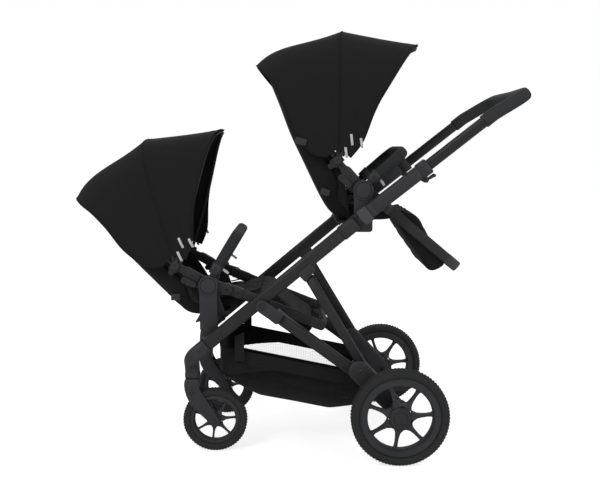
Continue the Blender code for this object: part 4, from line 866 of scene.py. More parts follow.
def hub_disc(hub):
    """The hub's outer ring, its groove and its slightly domed cap."""
    return turned("hub", [
        (0, BRACKET_IN - 0.004), (0.0284, BRACKET_IN - 0.004), (0.0288, BRACKET_OUT - 0.0008),
        (0.0279, BRACKET_OUT - 0.0026), (0.0238, BRACKET_OUT - 0.0028), (0.0234, BRACKET_OUT + 0.0006),
        (0.0220, BRACKET_OUT + 0.0006), (0.0216, BRACKET_OUT - 0.0024), (0.0120, BRACKET_OUT - 0.0029),
        (0, BRACKET_OUT - 0.0030),
    ], hub, GREY_PLASTIC, steps=72, angle=22)


hub = SEAT_HUB["upper"]
foot = (JOINT[0], JOINT[1] - 0.051)
upper_mount = joined("upper_mount", [
    plate("post", [*marked(foot, 0, (-0.022, 0), (0.020, 0), (0.025, 0.005)),
                   (hub[0] + 0.0268, hub[1] - 0.032), *arc(hub, HUB_RIM, -8, 188, 30),
                   (hub[0] - 0.0268, hub[1] - 0.032), (foot[0] - 0.026, foot[1] + 0.005)],
          BRACKET_IN, BRACKET_OUT, GREY_PLASTIC, edge=0.0024),
    hub_disc(hub),
    screw("bolt", (foot[0] - 0.004, foot[1] + 0.014), BRACKET_OUT, -1, 0.0042, STEEL),
], "front_frame", "upper_bracket_l")
other_side(upper_mount, "upper_mount_right", "front_frame", "upper_bracket_r")

hub = SEAT_HUB["lower"]
foot = (hub[0], hub[1] - 0.166)
lower_mount = joined("lower_mount", [
    plate("post", [*marked(foot, 0, (-0.002, 0), (0.011, 0.003), (0.0180, 0.014), (0.0256, 0.034)),
                   (hub[0] + 0.0260, hub[1] - 0.032), *arc(hub, HUB_RIM, -8, 188, 30),
                   (hub[0] - 0.0260, hub[1] - 0.032),
                   *marked(foot, 0, (-0.0256, 0.038), (-0.0170, 0.020))],
          BRACKET_IN, BRACKET_OUT, GREY_PLASTIC, edge=0.0024),
    hub_disc(hub),
    pin(tube_point(0.088), 0.0094, BRACKET_IN - 0.004, -TUBE_Y + TUBE_HALF[1] + 0.0004, 32),
], "front_frame", "lower_bracket_l")
other_side(lower_mount, "lower_mount_right", "front_frame", "lower_bracket_r")


# Seats. One design is used twice, so each piece is made once about its hub and set in both places.
# The frame is a pair of moulded side arms with a tube hoop up the back and a plate under the seat.
SEAT_TILT = {"upper": 0.0, "lower": 18.0}
ARM_ANGLE = 132
SEAT_Y = TUBE_Y - 0.0450
PIVOT = (-0.0735, 0.0845)
REST_PIVOT = (0.0448, -0.0302)
REST_ANGLE = -39.9
REST_LENGTH = 0.305
LEVER_AT = (-0.0400, 0.0140)
y_in, y_out = -SEAT_Y + 0.0080, -SEAT_Y - 0.0075


def fitted(made, label, body, node=None):
    """Sets the piece in both seats, turned by each seat's tilt about its hub, and uses it up."""
    set_in = {}
    for which in ("upper", "lower"):
        hub = SEAT_HUB[which]
        mesh = made.data.copy()
        mesh.transform(Matrix.Translation((hub[0], 0, hub[1]))
                       @ Matrix.Rotation(-math.radians(SEAT_TILT[which]), 4, "Y"))
        one = bpy.data.objects.new(which + "_" + label, mesh)
        scene.collection.objects.link(one)
        if body:
            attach(one, which + "_" + body)
        if node:
            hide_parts(which + "_" + node)
        set_in[which] = one
    bpy.data.objects.remove(made, do_unlink=True)
    return set_in


def on_arm(along, aside):
    return on_line((0, 0), ARM_ANGLE, along, aside)


def side_arm():
    """Hub disc, recline arm with its latch housing, canopy clamp, leg rest ear."""
    clamp = marked(PIVOT, ARM_ANGLE,
        (-0.0140, -0.0165), (0.0100, -0.0165), (0.0140, -0.0120), (0.0145, 0.0), (0.0140, 0.0170),
        (0.0095, 0.0215), (-0.0095, 0.0215), (-0.0140, 0.0170))
    knob = marked(PIVOT, ARM_ANGLE,
        (-0.0085, 0.0205), (-0.0085, 0.0290), (-0.0040, 0.0335), (0.0040, 0.0335),
        (0.0085, 0.0290), (0.0085, 0.0205))
    return [
        turned("disc", [(0, y_in), (0.0262, y_in), (0.0272, y_in - 0.001), (0.0272, y_out + 0.001),
                        (0.0262, y_out), (0, y_out)], (0, 0), DARK_PLASTIC, steps=56),
        plate("arm", marked((0, 0), ARM_ANGLE,
            (0.0, -0.0148), (0.076, -0.0148), (0.084, -0.0108), (0.110, -0.0105),
            (0.110, 0.0105), (0.084, 0.0108), (0.076, 0.0148), (0.0, 0.0148)),
              y_in - 0.0015, y_out + 0.001, GREY_PLASTIC, edge=0.0020),
        plate("latch", marked((0, 0), ARM_ANGLE,
            (0.034, -0.0158), (0.073, -0.0158), (0.0755, -0.0130), (0.0755, 0.0130),
            (0.073, 0.0158), (0.034, 0.0158), (0.0315, 0.0130), (0.0315, -0.0130)),
              y_out + 0.003, y_out - 0.0012, GREY_PLASTIC, edge=0.0012),
        plate("clamp", clamp, y_in + 0.0006, y_out - 0.0014, GREY_PLASTIC, edge=0.0026),
        plate("knob", knob, y_in - 0.002, y_out - 0.0006, DARK_PLASTIC, edge=0.0022),
        plate("ear", link_outline((0, 0), 0.0170, REST_PIVOT, 0.0165, 16), y_in - 0.0010,
              y_out + 0.0016, GREY_PLASTIC, edge=0.0016),
        plate("web", [(-0.018, 0.0), (-0.018, -0.0945), (-0.016, -0.0965), (0.016, -0.0965),
                      (0.018, -0.0945), (0.018, 0.0)], y_in - 0.0020, y_out + 0.0022, DARK_PLASTIC,
              edge=0.0012),
        plate("lever_ear", link_outline((0, 0), 0.0120, LEVER_AT, 0.0090, 12), y_in - 0.0026,
              y_out + 0.0028, DARK_PLASTIC, edge=0.0010),
        pin((0, 0), 0.0079, -SEAT_Y, BRACKET_IN - 0.0110, 32),
        pin(PIVOT, 0.0039, -SEAT_Y, -SEAT_Y - 0.0186, 24),
        screw("screw", on_arm(0.0540, 0.0), y_out - 0.0012, -1, 0.0030, DARK_PLASTIC),
        screw("screw", REST_PIVOT, y_out + 0.0016, -1, 0.0056, DARK_PLASTIC),
        *[plate("rib", marked((0, 0), ARM_ANGLE, (k, -0.0095), (k + 0.0016, -0.0095),
                              (k + 0.0016, 0.0095), (k, 0.0095)),
                y_out + 0.0012, y_out + 0.0002, DARK_PLASTIC, edge=0.0003, segments=1)
          for k in (0.0850, 0.0890)],
    ]


left = joined("arm_left", side_arm())
right = other_side(left, "arm_right", "upper_seat")
hoop_path = fillet([
    (-0.0670, -SEAT_Y, 0.0760), (-0.0735, -SEAT_Y, 0.0845), (-0.1550, -SEAT_Y + 0.003, 0.2030),
    (-0.2360, -SEAT_Y + 0.042, 0.3250), (-0.2360, SEAT_Y - 0.042, 0.3250),
    (-0.1550, SEAT_Y - 0.003, 0.2030), (-0.0735, SEAT_Y, 0.0845), (-0.0670, SEAT_Y, 0.0760),
], 0.045, 8)
hoop = drawn("hoop", hoop_path, oval(0.0086, 0.0070, 20, 2), BLACK_TUBE, normal=square_to(123.6))
pan = plate("pan", [(-0.0740, -0.0965), (0.0300, -0.0965), (0.0300, -0.0920), (-0.0740, -0.0920)],
            -SEAT_Y + 0.001, SEAT_Y - 0.001, DARK_PLASTIC, edge=0.0012)
seat_frame = joined("seat_frame", [left, right, hoop, pan])
fitted(seat_frame, "frame", "seat", "seat_frame")

lever = joined("lever", [
    plate("paddle", link_outline(LEVER_AT, 0.0085, (-0.0620, 0.0350), 0.0100, 16), y_out - 0.0020,
          y_out - 0.0090, DARK_PLASTIC, edge=0.0022),
    pin(LEVER_AT, 0.0029, -SEAT_Y, y_out - 0.004, 20),
    *[plate("rib", marked((-0.0620, 0.0350), 136,
        (k - 0.0006, -0.0065), (k + 0.0006, -0.0065), (k + 0.0006, 0.0065), (k - 0.0006, 0.0065)),
        y_out - 0.0085, y_out - 0.0096, DARK_PLASTIC, edge=0.0003, segments=1)
      for k in (-0.0045, -0.0015, 0.0015, 0.0045)],
])
fitted(lever, "lever_paddle", "lever", "recline_lever")

# Leg rest frame: two flat rails and an end bar bent in one, turning on pins in the seat's ears.
# The rails run in moulded caps at the pivots, and the end carries a lighter, worn rubber tip.
REST_GREY = hard_finish("rest_rail", (0.024, 0.024, 0.0255), (0.032, 0.032, 0.034), 0.60)
TIP_RUBBER = hard_finish("rest_tip", (0.030, 0.030, 0.031), (0.105, 0.103, 0.100), 0.70, 500.0)
rest_tip = on_line(REST_PIVOT, REST_ANGLE, REST_LENGTH)
rail_y = SEAT_Y - 0.0175
rest_path = fillet([
    in_space(REST_PIVOT, -rail_y), in_space(rest_tip, -rail_y), in_space(rest_tip, rail_y),
    in_space(REST_PIVOT, rail_y)], 0.030, 10)
rest_parts = [drawn("rail", rest_path, oval(0.0153, 0.0070, 36, 3), REST_GREY,
                    normal=square_to(REST_ANGLE))]
tip_path = fillet([in_space(on_line(REST_PIVOT, REST_ANGLE, REST_LENGTH - 0.040), -rail_y),
                   in_space(rest_tip, -rail_y), in_space(rest_tip, rail_y),
                   in_space(on_line(REST_PIVOT, REST_ANGLE, REST_LENGTH - 0.040), rail_y)], 0.030, 12)
rest_parts.append(drawn("tip", tip_path, oval(0.0158, 0.0076, 36, 3), TIP_RUBBER, ends=0.002,
                        normal=square_to(REST_ANGLE)))
for s in (-1, 1):
    a, b = s * (rail_y - 0.0078), s * (rail_y + 0.0078)
    rest_parts += [
        turned("eye", [(0, a), (0.0150, a), (0.0160, a + s * 0.001), (0.0160, b - s * 0.001),
                       (0.0150, b), (0, b)], REST_PIVOT, GREY_PLASTIC, steps=40),
        pin(REST_PIVOT, 0.0049, s * rail_y, s * (SEAT_Y + 0.0022), 20),
        plate("cap", marked(REST_PIVOT, REST_ANGLE, (0.006, -0.0158), (0.046, -0.0158), (0.050, -0.0120),
                            (0.050, 0.0120), (0.046, 0.0158), (0.006, 0.0158)), s * (rail_y - 0.0074),
              s * (rail_y + 0.0076), GREY_PLASTIC, edge=0.0016),
        screw("rivet", on_line(REST_PIVOT, REST_ANGLE, 0.034), s * (rail_y + 0.0076), s, 0.0036,
              DARK_PLASTIC),
    ]
rest_frame = joined("rest_frame", rest_parts)
fitted(rest_frame, "rest_frame", "legrest", "legrest_frame")

# Bumper bar: a bent tube in a padded cover of woven cloth. Moulded plugs at its ends push into the
# hubs, and a cuff beside each carries the release button.
BAR_ANGLE = 48
WAVE_PER_THREAD = 0.314

# Plain weave: two sets of threads read along the cloth's own map, in metres
weave, given, put = group(
    "plain_weave",
    [("Place", "Vector", None), ("Object", "Vector", None),
     ("Colour", "Color", (0.02, 0.02, 0.02, 1)), ("Worn", "Color", (0.03, 0.03, 0.03, 1)),
     ("Threads", "Float", 1400.0), ("Heather", "Float", 0.3)],
    [("Colour", "Color"), ("Rough", "Float"), ("Height", "Float")])
warp, weft = (new_node(weave, "ShaderNodeTexWave", {"Distortion": 0.4, "Detail": 1.0},
                       bands_direction=way) for way in ("X", "Y"))
over = new_node(weave, "ShaderNodeMath", operation="MULTIPLY")
soft = noise_node(weave, 5.0, 5.0, 0.6)
worn = stretch(weave, 0.40, 0.75, 0.0, 1.0)
yarn = noise_node(weave, 420.0, 2.0, 0.7)
mixed = blend_colour(weave)
fleck = stretch(weave, 0.3, 0.7, 0.75, 1.3)
flecked = blend_colour(weave, "MULTIPLY")
dull = stretch(weave, 0.3, 0.7, 0.86, 0.97)
for threads in (warp, weft):
    wired(weave, (given, "Place", threads, "Vector"), (given, "Threads", threads, "Scale"))
wired(weave, (warp, "Fac", over, 0), (weft, "Fac", over, 1), (given, "Object", soft, "Vector"),
      (soft, "Fac", worn, "Value"), (given, "Object", yarn, "Vector"),
      (worn, "Result", mixed, "Factor"), (given, "Colour", mixed, "A"), (given, "Worn", mixed, "B"),
      (yarn, "Fac", fleck, "Value"), (given, "Heather", flecked, "Factor"),
      (mixed, "Result", flecked, "A"), (fleck, "Result", flecked, "B"), (soft, "Fac", dull, "Value"),
      (flecked, "Result", put, "Colour"), (dull, "Result", put, "Rough"), (over, 0, put, "Height"))


def cloth_finish(name, colour, worn_colour, threads_per_m, heather, depth, sheen, mapped=False):
    """A woven fabric: thread count per metre, its faded tone, its fleck and its sheen."""
    return surface(name, weave, {"Colour": (*colour, 1), "Worn": (*worn_colour, 1), "Heather": heather,
                                 "Threads": threads_per_m * WAVE_PER_THREAD},
                   {"Sheen Weight": sheen, "Sheen Roughness": 0.6, "Specular IOR Level": 0.25},
                   {"Place": "UV" if mapped else "Object", "Object": "Object"}, 0.6, depth)


COVER_CLOTH = cloth_finish("bumper_cover", (0.036, 0.0375, 0.040), (0.046, 0.048, 0.051), 900.0, 0.35,
                           0.0003, 0.08, mapped=True)
bumper_start = on_line((0, 0), BAR_ANGLE, 0.0312)
bumper_path = fillet([
    in_space(bumper_start, -SEAT_Y + 0.0100), (0.1190, -SEAT_Y + 0.0100, 0.1090),
    (0.1190, SEAT_Y - 0.0100, 0.1090), in_space(bumper_start, SEAT_Y - 0.0100)], 0.055, 16)
bumper_parts = [drawn("cover", bumper_path, oval(0.0163, 0.0121, 40, 2.3), COVER_CLOTH,
                      normal=square_to(42), ends=0.003)]
for s in (-1, 1):
    y = s * (SEAT_Y - 0.0100)
    bumper_parts += [
        drawn("plug", [in_space(on_line((0, 0), BAR_ANGLE, 0.0130), s * (SEAT_Y - 0.0015)),
                       in_space(on_line((0, 0), BAR_ANGLE, 0.0440), s * (SEAT_Y - 0.0015))],
              oval(0.0098, 0.0049, 28, 3), DARK_PLASTIC),
        drawn("cuff", [in_space(on_line((0, 0), BAR_ANGLE, 0.0316), y),
                       in_space(on_line((0, 0), 47, 0.0640), y)],
              oval(0.0166, 0.0124, 40, 2.8), GREY_PLASTIC, ends=0.002),
        plate("button", marked((0, 0), BAR_ANGLE,
            (0.0420, -0.0045), (0.0540, -0.0045), (0.0555, -0.0030), (0.0555, 0.0030),
            (0.0540, 0.0045), (0.0420, 0.0045), (0.0405, 0.0030), (0.0405, -0.0030)),
            y + s * 0.0112, y + s * 0.0132, DARK_PLASTIC, edge=0.0005),
    ]
bumper = joined("bumper", bumper_parts)
fitted(bumper, "bumper", "bumper", "bumper_bar")


# Cloth of the seats: a ripstop outer cloth, a darker lining, and binding tape. Colours vary a
# little and drift paler in broad random patches.
CANOPY_CLOTH = cloth_finish("canopy_cloth", (0.0125, 0.0125, 0.0140), (0.0165, 0.0165, 0.0180), 1500.0,
                            0.22, 0.00016, 0.06, mapped=True)
SHELL_CLOTH = cloth_finish("shell_cloth", (0.0115, 0.0115, 0.0128), (0.0155, 0.0155, 0.0168), 1100.0,
                           0.28, 0.0002, 0.06)
LINER_CLOTH = cloth_finish("liner_cloth", (0.0085, 0.0085, 0.0095), (0.0125, 0.0125, 0.0135), 800.0,
                           0.34, 0.0003, 0.08)
BINDING = cloth_finish("binding_tape", (0.0095, 0.0095, 0.0105), (0.0150, 0.0150, 0.0160), 1300.0,
                       0.2, 0.0002, 0.05)
GREY_WEBBING = cloth_finish("grey_webbing", (0.052, 0.052, 0.055), (0.068, 0.068, 0.072), 900.0, 0.4,
                            0.0003, 0.08)
BLACK_WEBBING = cloth_finish("black_webbing", (0.016, 0.016, 0.017), (0.026, 0.026, 0.028), 900.0, 0.4,
                             0.0003, 0.06)
REFLECTIVE = hard_finish("reflective_tab", (0.72, 0.72, 0.72), (0.80, 0.80, 0.80), 0.35, 1600.0, 0.00006)
THREAD = hard_finish("sewing_thread", (0.019, 0.019, 0.021), (0.027, 0.027, 0.029), 0.6, 4000.0)

BOWS = {"rear": (130.4, 0.3646), "mid": (85.6, 0.3760), "front": (52.7, 0.4125)}
CANOPY_HALF = TUBE_Y - 0.0235
CLOTH_THICK = 0.0016
BOW_SWEEP = 3.6
BOW_STEPS = (1.2, 5, 14, 27, 41, 54, 66, 78, 90)
BOW_KNOTS = list(BOW_STEPS) + [180 - a for a in BOW_STEPS[-2::-1]]
bow_curves = {}


def bow_point(angle, radius, half, theta, loose_front=0.0, loose_rear=0.0, swept=0.0):
    """A point of a squarish arch about the canopy pivot, as (x, z, y)."""
    c, s = math.cos(theta), math.sin(theta)
    r = radius * abs(s) ** 0.625
    y = -half * math.copysign(abs(c) ** 0.625, c)
    a = angle - loose_front * min(1.0, max(0.0, (0.300 - r) / 0.265)) ** 4
    a += swept * (0.35 + 0.65 * abs(math.sin(2 * theta)))
    a += loose_rear * min(1.0, max(0.0, (0.300 - r) / 0.210)) ** 2.3
    a = math.radians(a)
    return PIVOT[0] + r * math.cos(a), PIVOT[1] + r * math.sin(a), y


def between(rows, k, t):
    """A share t of the smooth way from row k to the next, through rows of numbers."""
    a, b, c, d = (rows[min(max(i, 0), len(rows) - 1)] for i in (k - 1, k, k + 1, k + 2))
    return [0.5 * (2 * q + (r - p) * t + (2 * p - 5 * q + 4 * r - s) * t ** 2
                   + (3 * q - p - 3 * r + s) * t ** 3) for p, q, r, s in zip(a, b, c, d)]


def bow_curve(theta, *shape):
    """A smooth run through the arch's knots, at theta radians."""
    if shape not in bow_curves:
        angle, radius, half = shape[:3]
        bow_curves[shape] = [bow_point(angle, radius, half, math.radians(a), *shape[3:])
                             for a in BOW_KNOTS]
    knots = bow_curves[shape]
    degrees = math.degrees(theta)
    k = max(i for i in range(len(knots) - 1) if BOW_KNOTS[i] <= degrees + 1e-6)
    t = (degrees - BOW_KNOTS[k]) / (BOW_KNOTS[k + 1] - BOW_KNOTS[k])
    return between(knots, k, t)


def canopy_at(part, u, theta, inside=0.0, lift=0.0):
    """A point of a canopy sheet: u runs from the middle bow to the sheet's free edge."""
    rear = part == "rear"
    first, last = BOWS["mid"], BOWS["rear" if rear else "front"]
    half = CANOPY_HALF - inside
    a = bow_curve(theta, first[0] + (0.10 if rear else -0.10), first[1] - inside, half, 0.0, 0.0,
                  BOW_SWEEP)
    loose = (0.0, 33.0) if rear else (44.0, 0.0, BOW_SWEEP)
    b = bow_curve(theta, last[0], last[1] - inside, half, *loose)
    top = math.sin(theta) ** 2
    sag = 1 + (0.050 * math.sin(math.pi * u * u) if rear else -0.006 * math.sin(math.pi * u)) * top
    x, z, y = (a[j] + (b[j] - a[j]) * u for j in range(3))
    dx, dz = (x - PIVOT[0]) * sag, (z - PIVOT[1]) * sag
    reach = math.hypot(dx, dz)
    away = math.sin(math.pi * min(1.0, u * 1.04)) if u < 0.96 else 0.0
    crease = 0.0016 * math.exp(-(reach / 0.115) ** 2) * math.sin(17 * u + (1.3 if rear else 0.4))
    crease += 0.0009 * math.sin(9.0 * u + 3.0 * math.cos(theta) + 11.0 * reach) * (1 - top)
    crease += 0.0007 * math.sin(5.0 * u * math.cos(theta) + 23.0 * reach)
    pull = 1 + (crease * away + lift) / max(0.05, reach) * top
    side = -math.copysign(1, math.cos(theta)) * (1 - top)
    return Vector((PIVOT[0] + dx * pull, y + side * (crease * away + lift), PIVOT[1] + dz * pull))


def eased(steps, first=1.2, last=178.8):
    """Angles round a bow, closer together at its feet."""
    return [math.radians(first + (last - first) * (0.5 - 0.5 * math.cos(math.pi * i / steps)))
            for i in range(steps + 1)]


def double_skin(wide, rows):
    """Faces of a sheet of cloth: two grids of rows by wide points, joined round the edge."""
    faces = []
    skin = wide * rows
    for k in range(rows - 1):
        for i in range(wide - 1):
            a, b = k * wide + i, (k + 1) * wide + i
            faces.append((a, a + 1, b + 1, b))
            faces.append((skin + a, skin + b, skin + b + 1, skin + a + 1))
    rim = list(range(wide))
    rim += [k * wide + wide - 1 for k in range(1, rows)]
    rim += [(rows - 1) * wide + i for i in range(wide - 2, -1, -1)]
    rim += [k * wide for k in range(rows - 2, 0, -1)]
    return faces + [(a, skin + a, skin + b, b) for a, b in zip(rim, rim[1:] + rim[:1])]


def canopy_sheet(part, rows=26, columns=96):
    """A canopy's sheet with its lining, its flat size and its area."""
    thetas = eased(columns)
    points, uv = [], []
    for inside in (0.0, CLOTH_THICK):
        for k in range(rows + 1):
            line = [canopy_at(part, k / rows, t, inside) for t in thetas]
            at = 0.0
            for i, p in enumerate(line):
                at += (p - line[i - 1]).length if i else 0.0
                points.append(p)
                uv.append((at, 0.28 * k / rows))
    wide = columns + 1
    made = piece("canopy_" + part, points, double_skin(wide, rows + 1), CANOPY_CLOTH, uv=uv, angle=50)
    width = max(sum((points[k * wide + i] - points[k * wide + i + 1]).length for i in range(columns))
                for k in (0, rows))
    across = max(sum((points[k * wide + i] - points[(k + 1) * wide + i]).length for k in range(rows))
                 for i in range(0, wide, 4))
    return made, (width, across), sum(f.area for f in made.data.polygons) / 2


# Stitching: rows of thread, each stitch a short capsule. A node tree sets the stitches along a line
# at one spacing, and turns each along the line.
STITCH_LINE, given, put = group(
    "stitch_line",
    [("Line", "Geometry", None), ("Spacing", "Float", 0.0052), ("Length", "Float", 0.0034),
     ("Thread", "Float", 0.00042), ("Finish", "Material", None)],
    [("Stitches", "Geometry")], "GeometryNodeTree")
seam_curve = STITCH_LINE.nodes.new("GeometryNodeMeshToCurve")
spaced = new_node(STITCH_LINE, "GeometryNodeResampleCurve", mode="LENGTH")
places = new_node(STITCH_LINE, "GeometryNodeCurveToPoints", mode="EVALUATED")
thread = new_node(STITCH_LINE, "GeometryNodeMeshUVSphere", {"Segments": 6, "Rings": 4})
stretched = STITCH_LINE.nodes.new("GeometryNodeTransform")
scale = STITCH_LINE.nodes.new("ShaderNodeCombineXYZ")
half_length = new_node(STITCH_LINE, "ShaderNodeMath", {1: 0.5}, operation="MULTIPLY")
sewn = STITCH_LINE.nodes.new("GeometryNodeInstanceOnPoints")
real = STITCH_LINE.nodes.new("GeometryNodeRealizeInstances")
coloured = STITCH_LINE.nodes.new("GeometryNodeSetMaterial")
wired(STITCH_LINE, (given, "Line", seam_curve, "Mesh"), (seam_curve, "Curve", spaced, "Curve"),
      (given, "Spacing", spaced, "Length"), (spaced, "Curve", places, "Curve"),
      (thread, "Mesh", stretched, "Geometry"), (given, "Length", half_length, 0),
      (given, "Thread", scale, "X"), (given, "Thread", scale, "Y"), (half_length, 0, scale, "Z"),
      (scale, "Vector", stretched, "Scale"), (places, "Points", sewn, "Points"),
      (places, "Rotation", sewn, "Rotation"), (stretched, "Geometry", sewn, "Instance"),
      (sewn, "Instances", real, "Geometry"), (real, "Geometry", coloured, "Geometry"),
      (given, "Finish", coloured, "Material"), (coloured, "Geometry", put, "Stitches"))


def stitched(path):
    """A row of stitches along a path."""
    mesh = bpy.data.meshes.new("stitches")
    mesh.from_pydata([tuple(p) for p in path], [(i, i + 1) for i in range(len(path) - 1)], [])
    made = laid("stitches", STITCH_LINE, {"Finish": THREAD}, mesh)
    made.data.shade_smooth()
    return made


# Canopies: two sheets meet in a piped seam over the middle bow. Binding tape closes the free
# edges, and three reflective loops stand at the lower front corner of each side.
def edge_line(part, u, lift, first=1.2, last=178.8):
    return [canopy_at(part, u, t, 0.0, lift) for t in eased(84, first, last)]


def tape(name, path, section, finish):
    """Soft binding drawn along a cloth edge."""
    return drawn(name, path, section, finish, ends=0.0004)


def cloth_both(made, label, node=None):
    """Sets the piece in both seats, held by no body, with its place baked into its mesh."""
    done = fitted(made, label, None, node)
    for which, one in done.items():
        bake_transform(one)
    return done


for part, first, second, bow in (("rear", "seat", "bow_mid", "mid"),
                                 ("front", "bow_mid", "bow_front", "front")):
    sheet, flat, area = canopy_sheet(part)
    sheets = cloth_both(sheet, "canopy_" + part + "_cloth", "canopy_" + part)

rear_edge = tape("rear_binding", edge_line("rear", 1.0, -0.0006), oval(0.0017, 0.0026, 10, 2), BINDING)
rear_row = stitched(edge_line("rear", 0.975, 0.0004, 3.0, 177.0))
cloth_both(joined("edge", [rear_edge, rear_row]), "canopy_rear_binding")
front_edge = tape("front_binding", edge_line("front", 1.0, -0.0006), oval(0.0019, 0.0030, 10, 2),
                  BINDING)
front_rows = [stitched(edge_line("front", u, 0.0004, 3.0, 177.0)) for u in (0.90, 0.885)]
cloth_both(joined("edge", [front_edge, *front_rows]), "canopy_front_binding")
seam = [tape("piping", edge_line("front", 0.0, 0.0002), oval(0.0016, 0.0016, 10, 2), BINDING),
        stitched(edge_line("front", 0.020, 0.0004, 3.0, 177.0))]
fitted(joined("seam", seam), "canopy_seam", "bow_mid")

loops = []
for start, end in (((-0.0360, 0.1580), (-0.0325, 0.1260)), ((-0.0090, 0.1470), (-0.0045, 0.1190)),
                   ((-0.0520, 0.1220), (-0.0480, 0.0910))):
    for s in (-1, 1):
        y = s * (CANOPY_HALF + 0.0012)
        path = fillet([(start[0], y, start[1]), ((start[0] + end[0]) / 2, y + s * 0.0026,
                                                (start[1] + end[1]) / 2), (end[0], y, end[1])], 0.02, 6)
        loops.append(drawn("loop", path, oval(0.0006, 0.0036, 20, 3), REFLECTIVE,
                           side=Vector((1, 0, 0.15)), ends=0.0006))
cloth_both(joined("tabs", loops), "canopy_loops")

# Canopy bows: flat hoops of sprung plastic inside the cloth. Their ends carry moulded eyes, which
# turn on the clamp pins of the seat's arms.
for bow, half, slot in (("mid", SEAT_Y + 0.0115, 0.0115), ("front", SEAT_Y + 0.0160, 0.0160)):
    angle, radius = BOWS[bow]
    path = [bow_point(angle, radius - 0.0085, half, t, swept=BOW_SWEEP) for t in
            [math.radians(0.06)] + eased(64)[1:-1] + [math.radians(179.94)]]
    parts = [drawn("hoop", [(x, y, z) for x, z, y in path], oval(0.0050, 0.0017, 14, 3), DARK_PLASTIC,
                   normal=square_to(angle))]
    for s in (-1, 1):
        a, b = s * (SEAT_Y + slot - 0.0018), s * (SEAT_Y + slot + 0.0018)
        parts.append(turned("eye", [(0.0044, a), (0.0108, a), (0.0114, a + s * 0.0006),
                                    (0.0114, b - s * 0.0006), (0.0108, b), (0.0044, b)], PIVOT,
                            GREY_PLASTIC, steps=36))
    made = joined("hoop_" + bow, parts)
    fitted(made, "canopy_bow_" + bow + "_hoop", "bow_" + bow, "canopy_bow_" + bow)


# Seat pads and leg rest pads. Each is remeshed, swollen by cloth pressure as stuffing does, and
# then quilted, so the cover is tight over the filling and drawn in along its seams.
SWELL_FRAMES = 18


def smooth_run(rows, steps):
    """Rows of numbers, with smooth steps between each and the next."""
    run = [between(rows, k, i / steps) for k in range(len(rows) - 1) for i in range(steps)]
    return run + [list(rows[-1])]


def plumped(made, finish, voxel, pressure, cap, soften):
    """Swells a closed pad by no more than cap, and leaves a plain smooth mesh."""
    remesh = made.modifiers.new("even", "REMESH")
    remesh.mode = "VOXEL"
    remesh.voxel_size = voxel
    applied(made)
    rest = [v.co.copy() for v in made.data.vertices]
    cloth = made.modifiers.new("stuffing", "CLOTH")
    cloth.settings.use_pressure = True
    cloth.settings.uniform_pressure_force = pressure
    cloth.settings.effector_weights.gravity = 0
    cloth.settings.quality = 4
    cloth.collision_settings.use_collision = False
    cloth.point_cache.frame_end = SWELL_FRAMES
    for frame_number in range(1, SWELL_FRAMES + 1):
        scene.frame_set(frame_number)
    applied(made)
    for vertex, start in zip(made.data.vertices, rest):
        moved = vertex.co - start
        if moved.length > cap:
            vertex.co = start + moved.normalized() * cap
    scene.frame_set(1)
    eased_over = made.modifiers.new("soften", "SMOOTH")
    eased_over.factor = 0.5
    eased_over.iterations = soften
    applied(made)
    finer = made.modifiers.new("finer", "SUBSURF")
    finer.levels = 1
    finer.render_levels = 1
    applied(made)
    made.data.materials.clear()
    made.data.materials.append(finish)
    made.data.shade_smooth()
    return made


PAD_STATIONS = smooth_run([
    (0.0920, -0.0885, 92, 0.018, 0.024, 0.124), (0.0620, -0.0900, 90, 0.029, 0.036, 0.130),
    (0.0300, -0.0900, 90, 0.026, 0.040, 0.131), (0.0000, -0.0900, 90, 0.032, 0.043, 0.132),
    (-0.0500, -0.0860, 82, 0.032, 0.045, 0.133), (-0.0850, -0.0700, 57, 0.030, 0.046, 0.136),
    (-0.1100, -0.0350, 38, 0.028, 0.058, 0.141), (-0.1360, 0.0150, 27, 0.032, 0.072, 0.145),
    (-0.1660, 0.0780, 25, 0.028, 0.060, 0.147), (-0.1960, 0.1400, 24, 0.032, 0.048, 0.147),
    (-0.2160, 0.1880, 23, 0.026, 0.034, 0.143), (-0.2360, 0.2420, 22, 0.020, 0.024, 0.136),
    (-0.2580, 0.2950, 22, 0.0165, 0.0190, 0.122), (-0.2740, 0.3330, 22, 0.0100, 0.0115, 0.092),
], 3)
PAD_WALL = 0.012


def pad_point(station, y, u):
    x, z, normal = station[:3]
    n = math.radians(normal)
    return Vector((x + math.cos(n) * u, y, z + math.sin(n) * u))


def station_at(k):
    """The numbers at station k, which may be a fraction."""
    a, b = PAD_STATIONS[int(k)], PAD_STATIONS[min(int(k) + 1, len(PAD_STATIONS) - 1)]
    return [p + (q - p) * (k - int(k)) for p, q in zip(a, b)]


def pad_front(k, y, lift=0.0):
    """A point of the padded face at station k."""
    station = station_at(k)
    return pad_point(station, y, station[3] * 1.03 + lift)


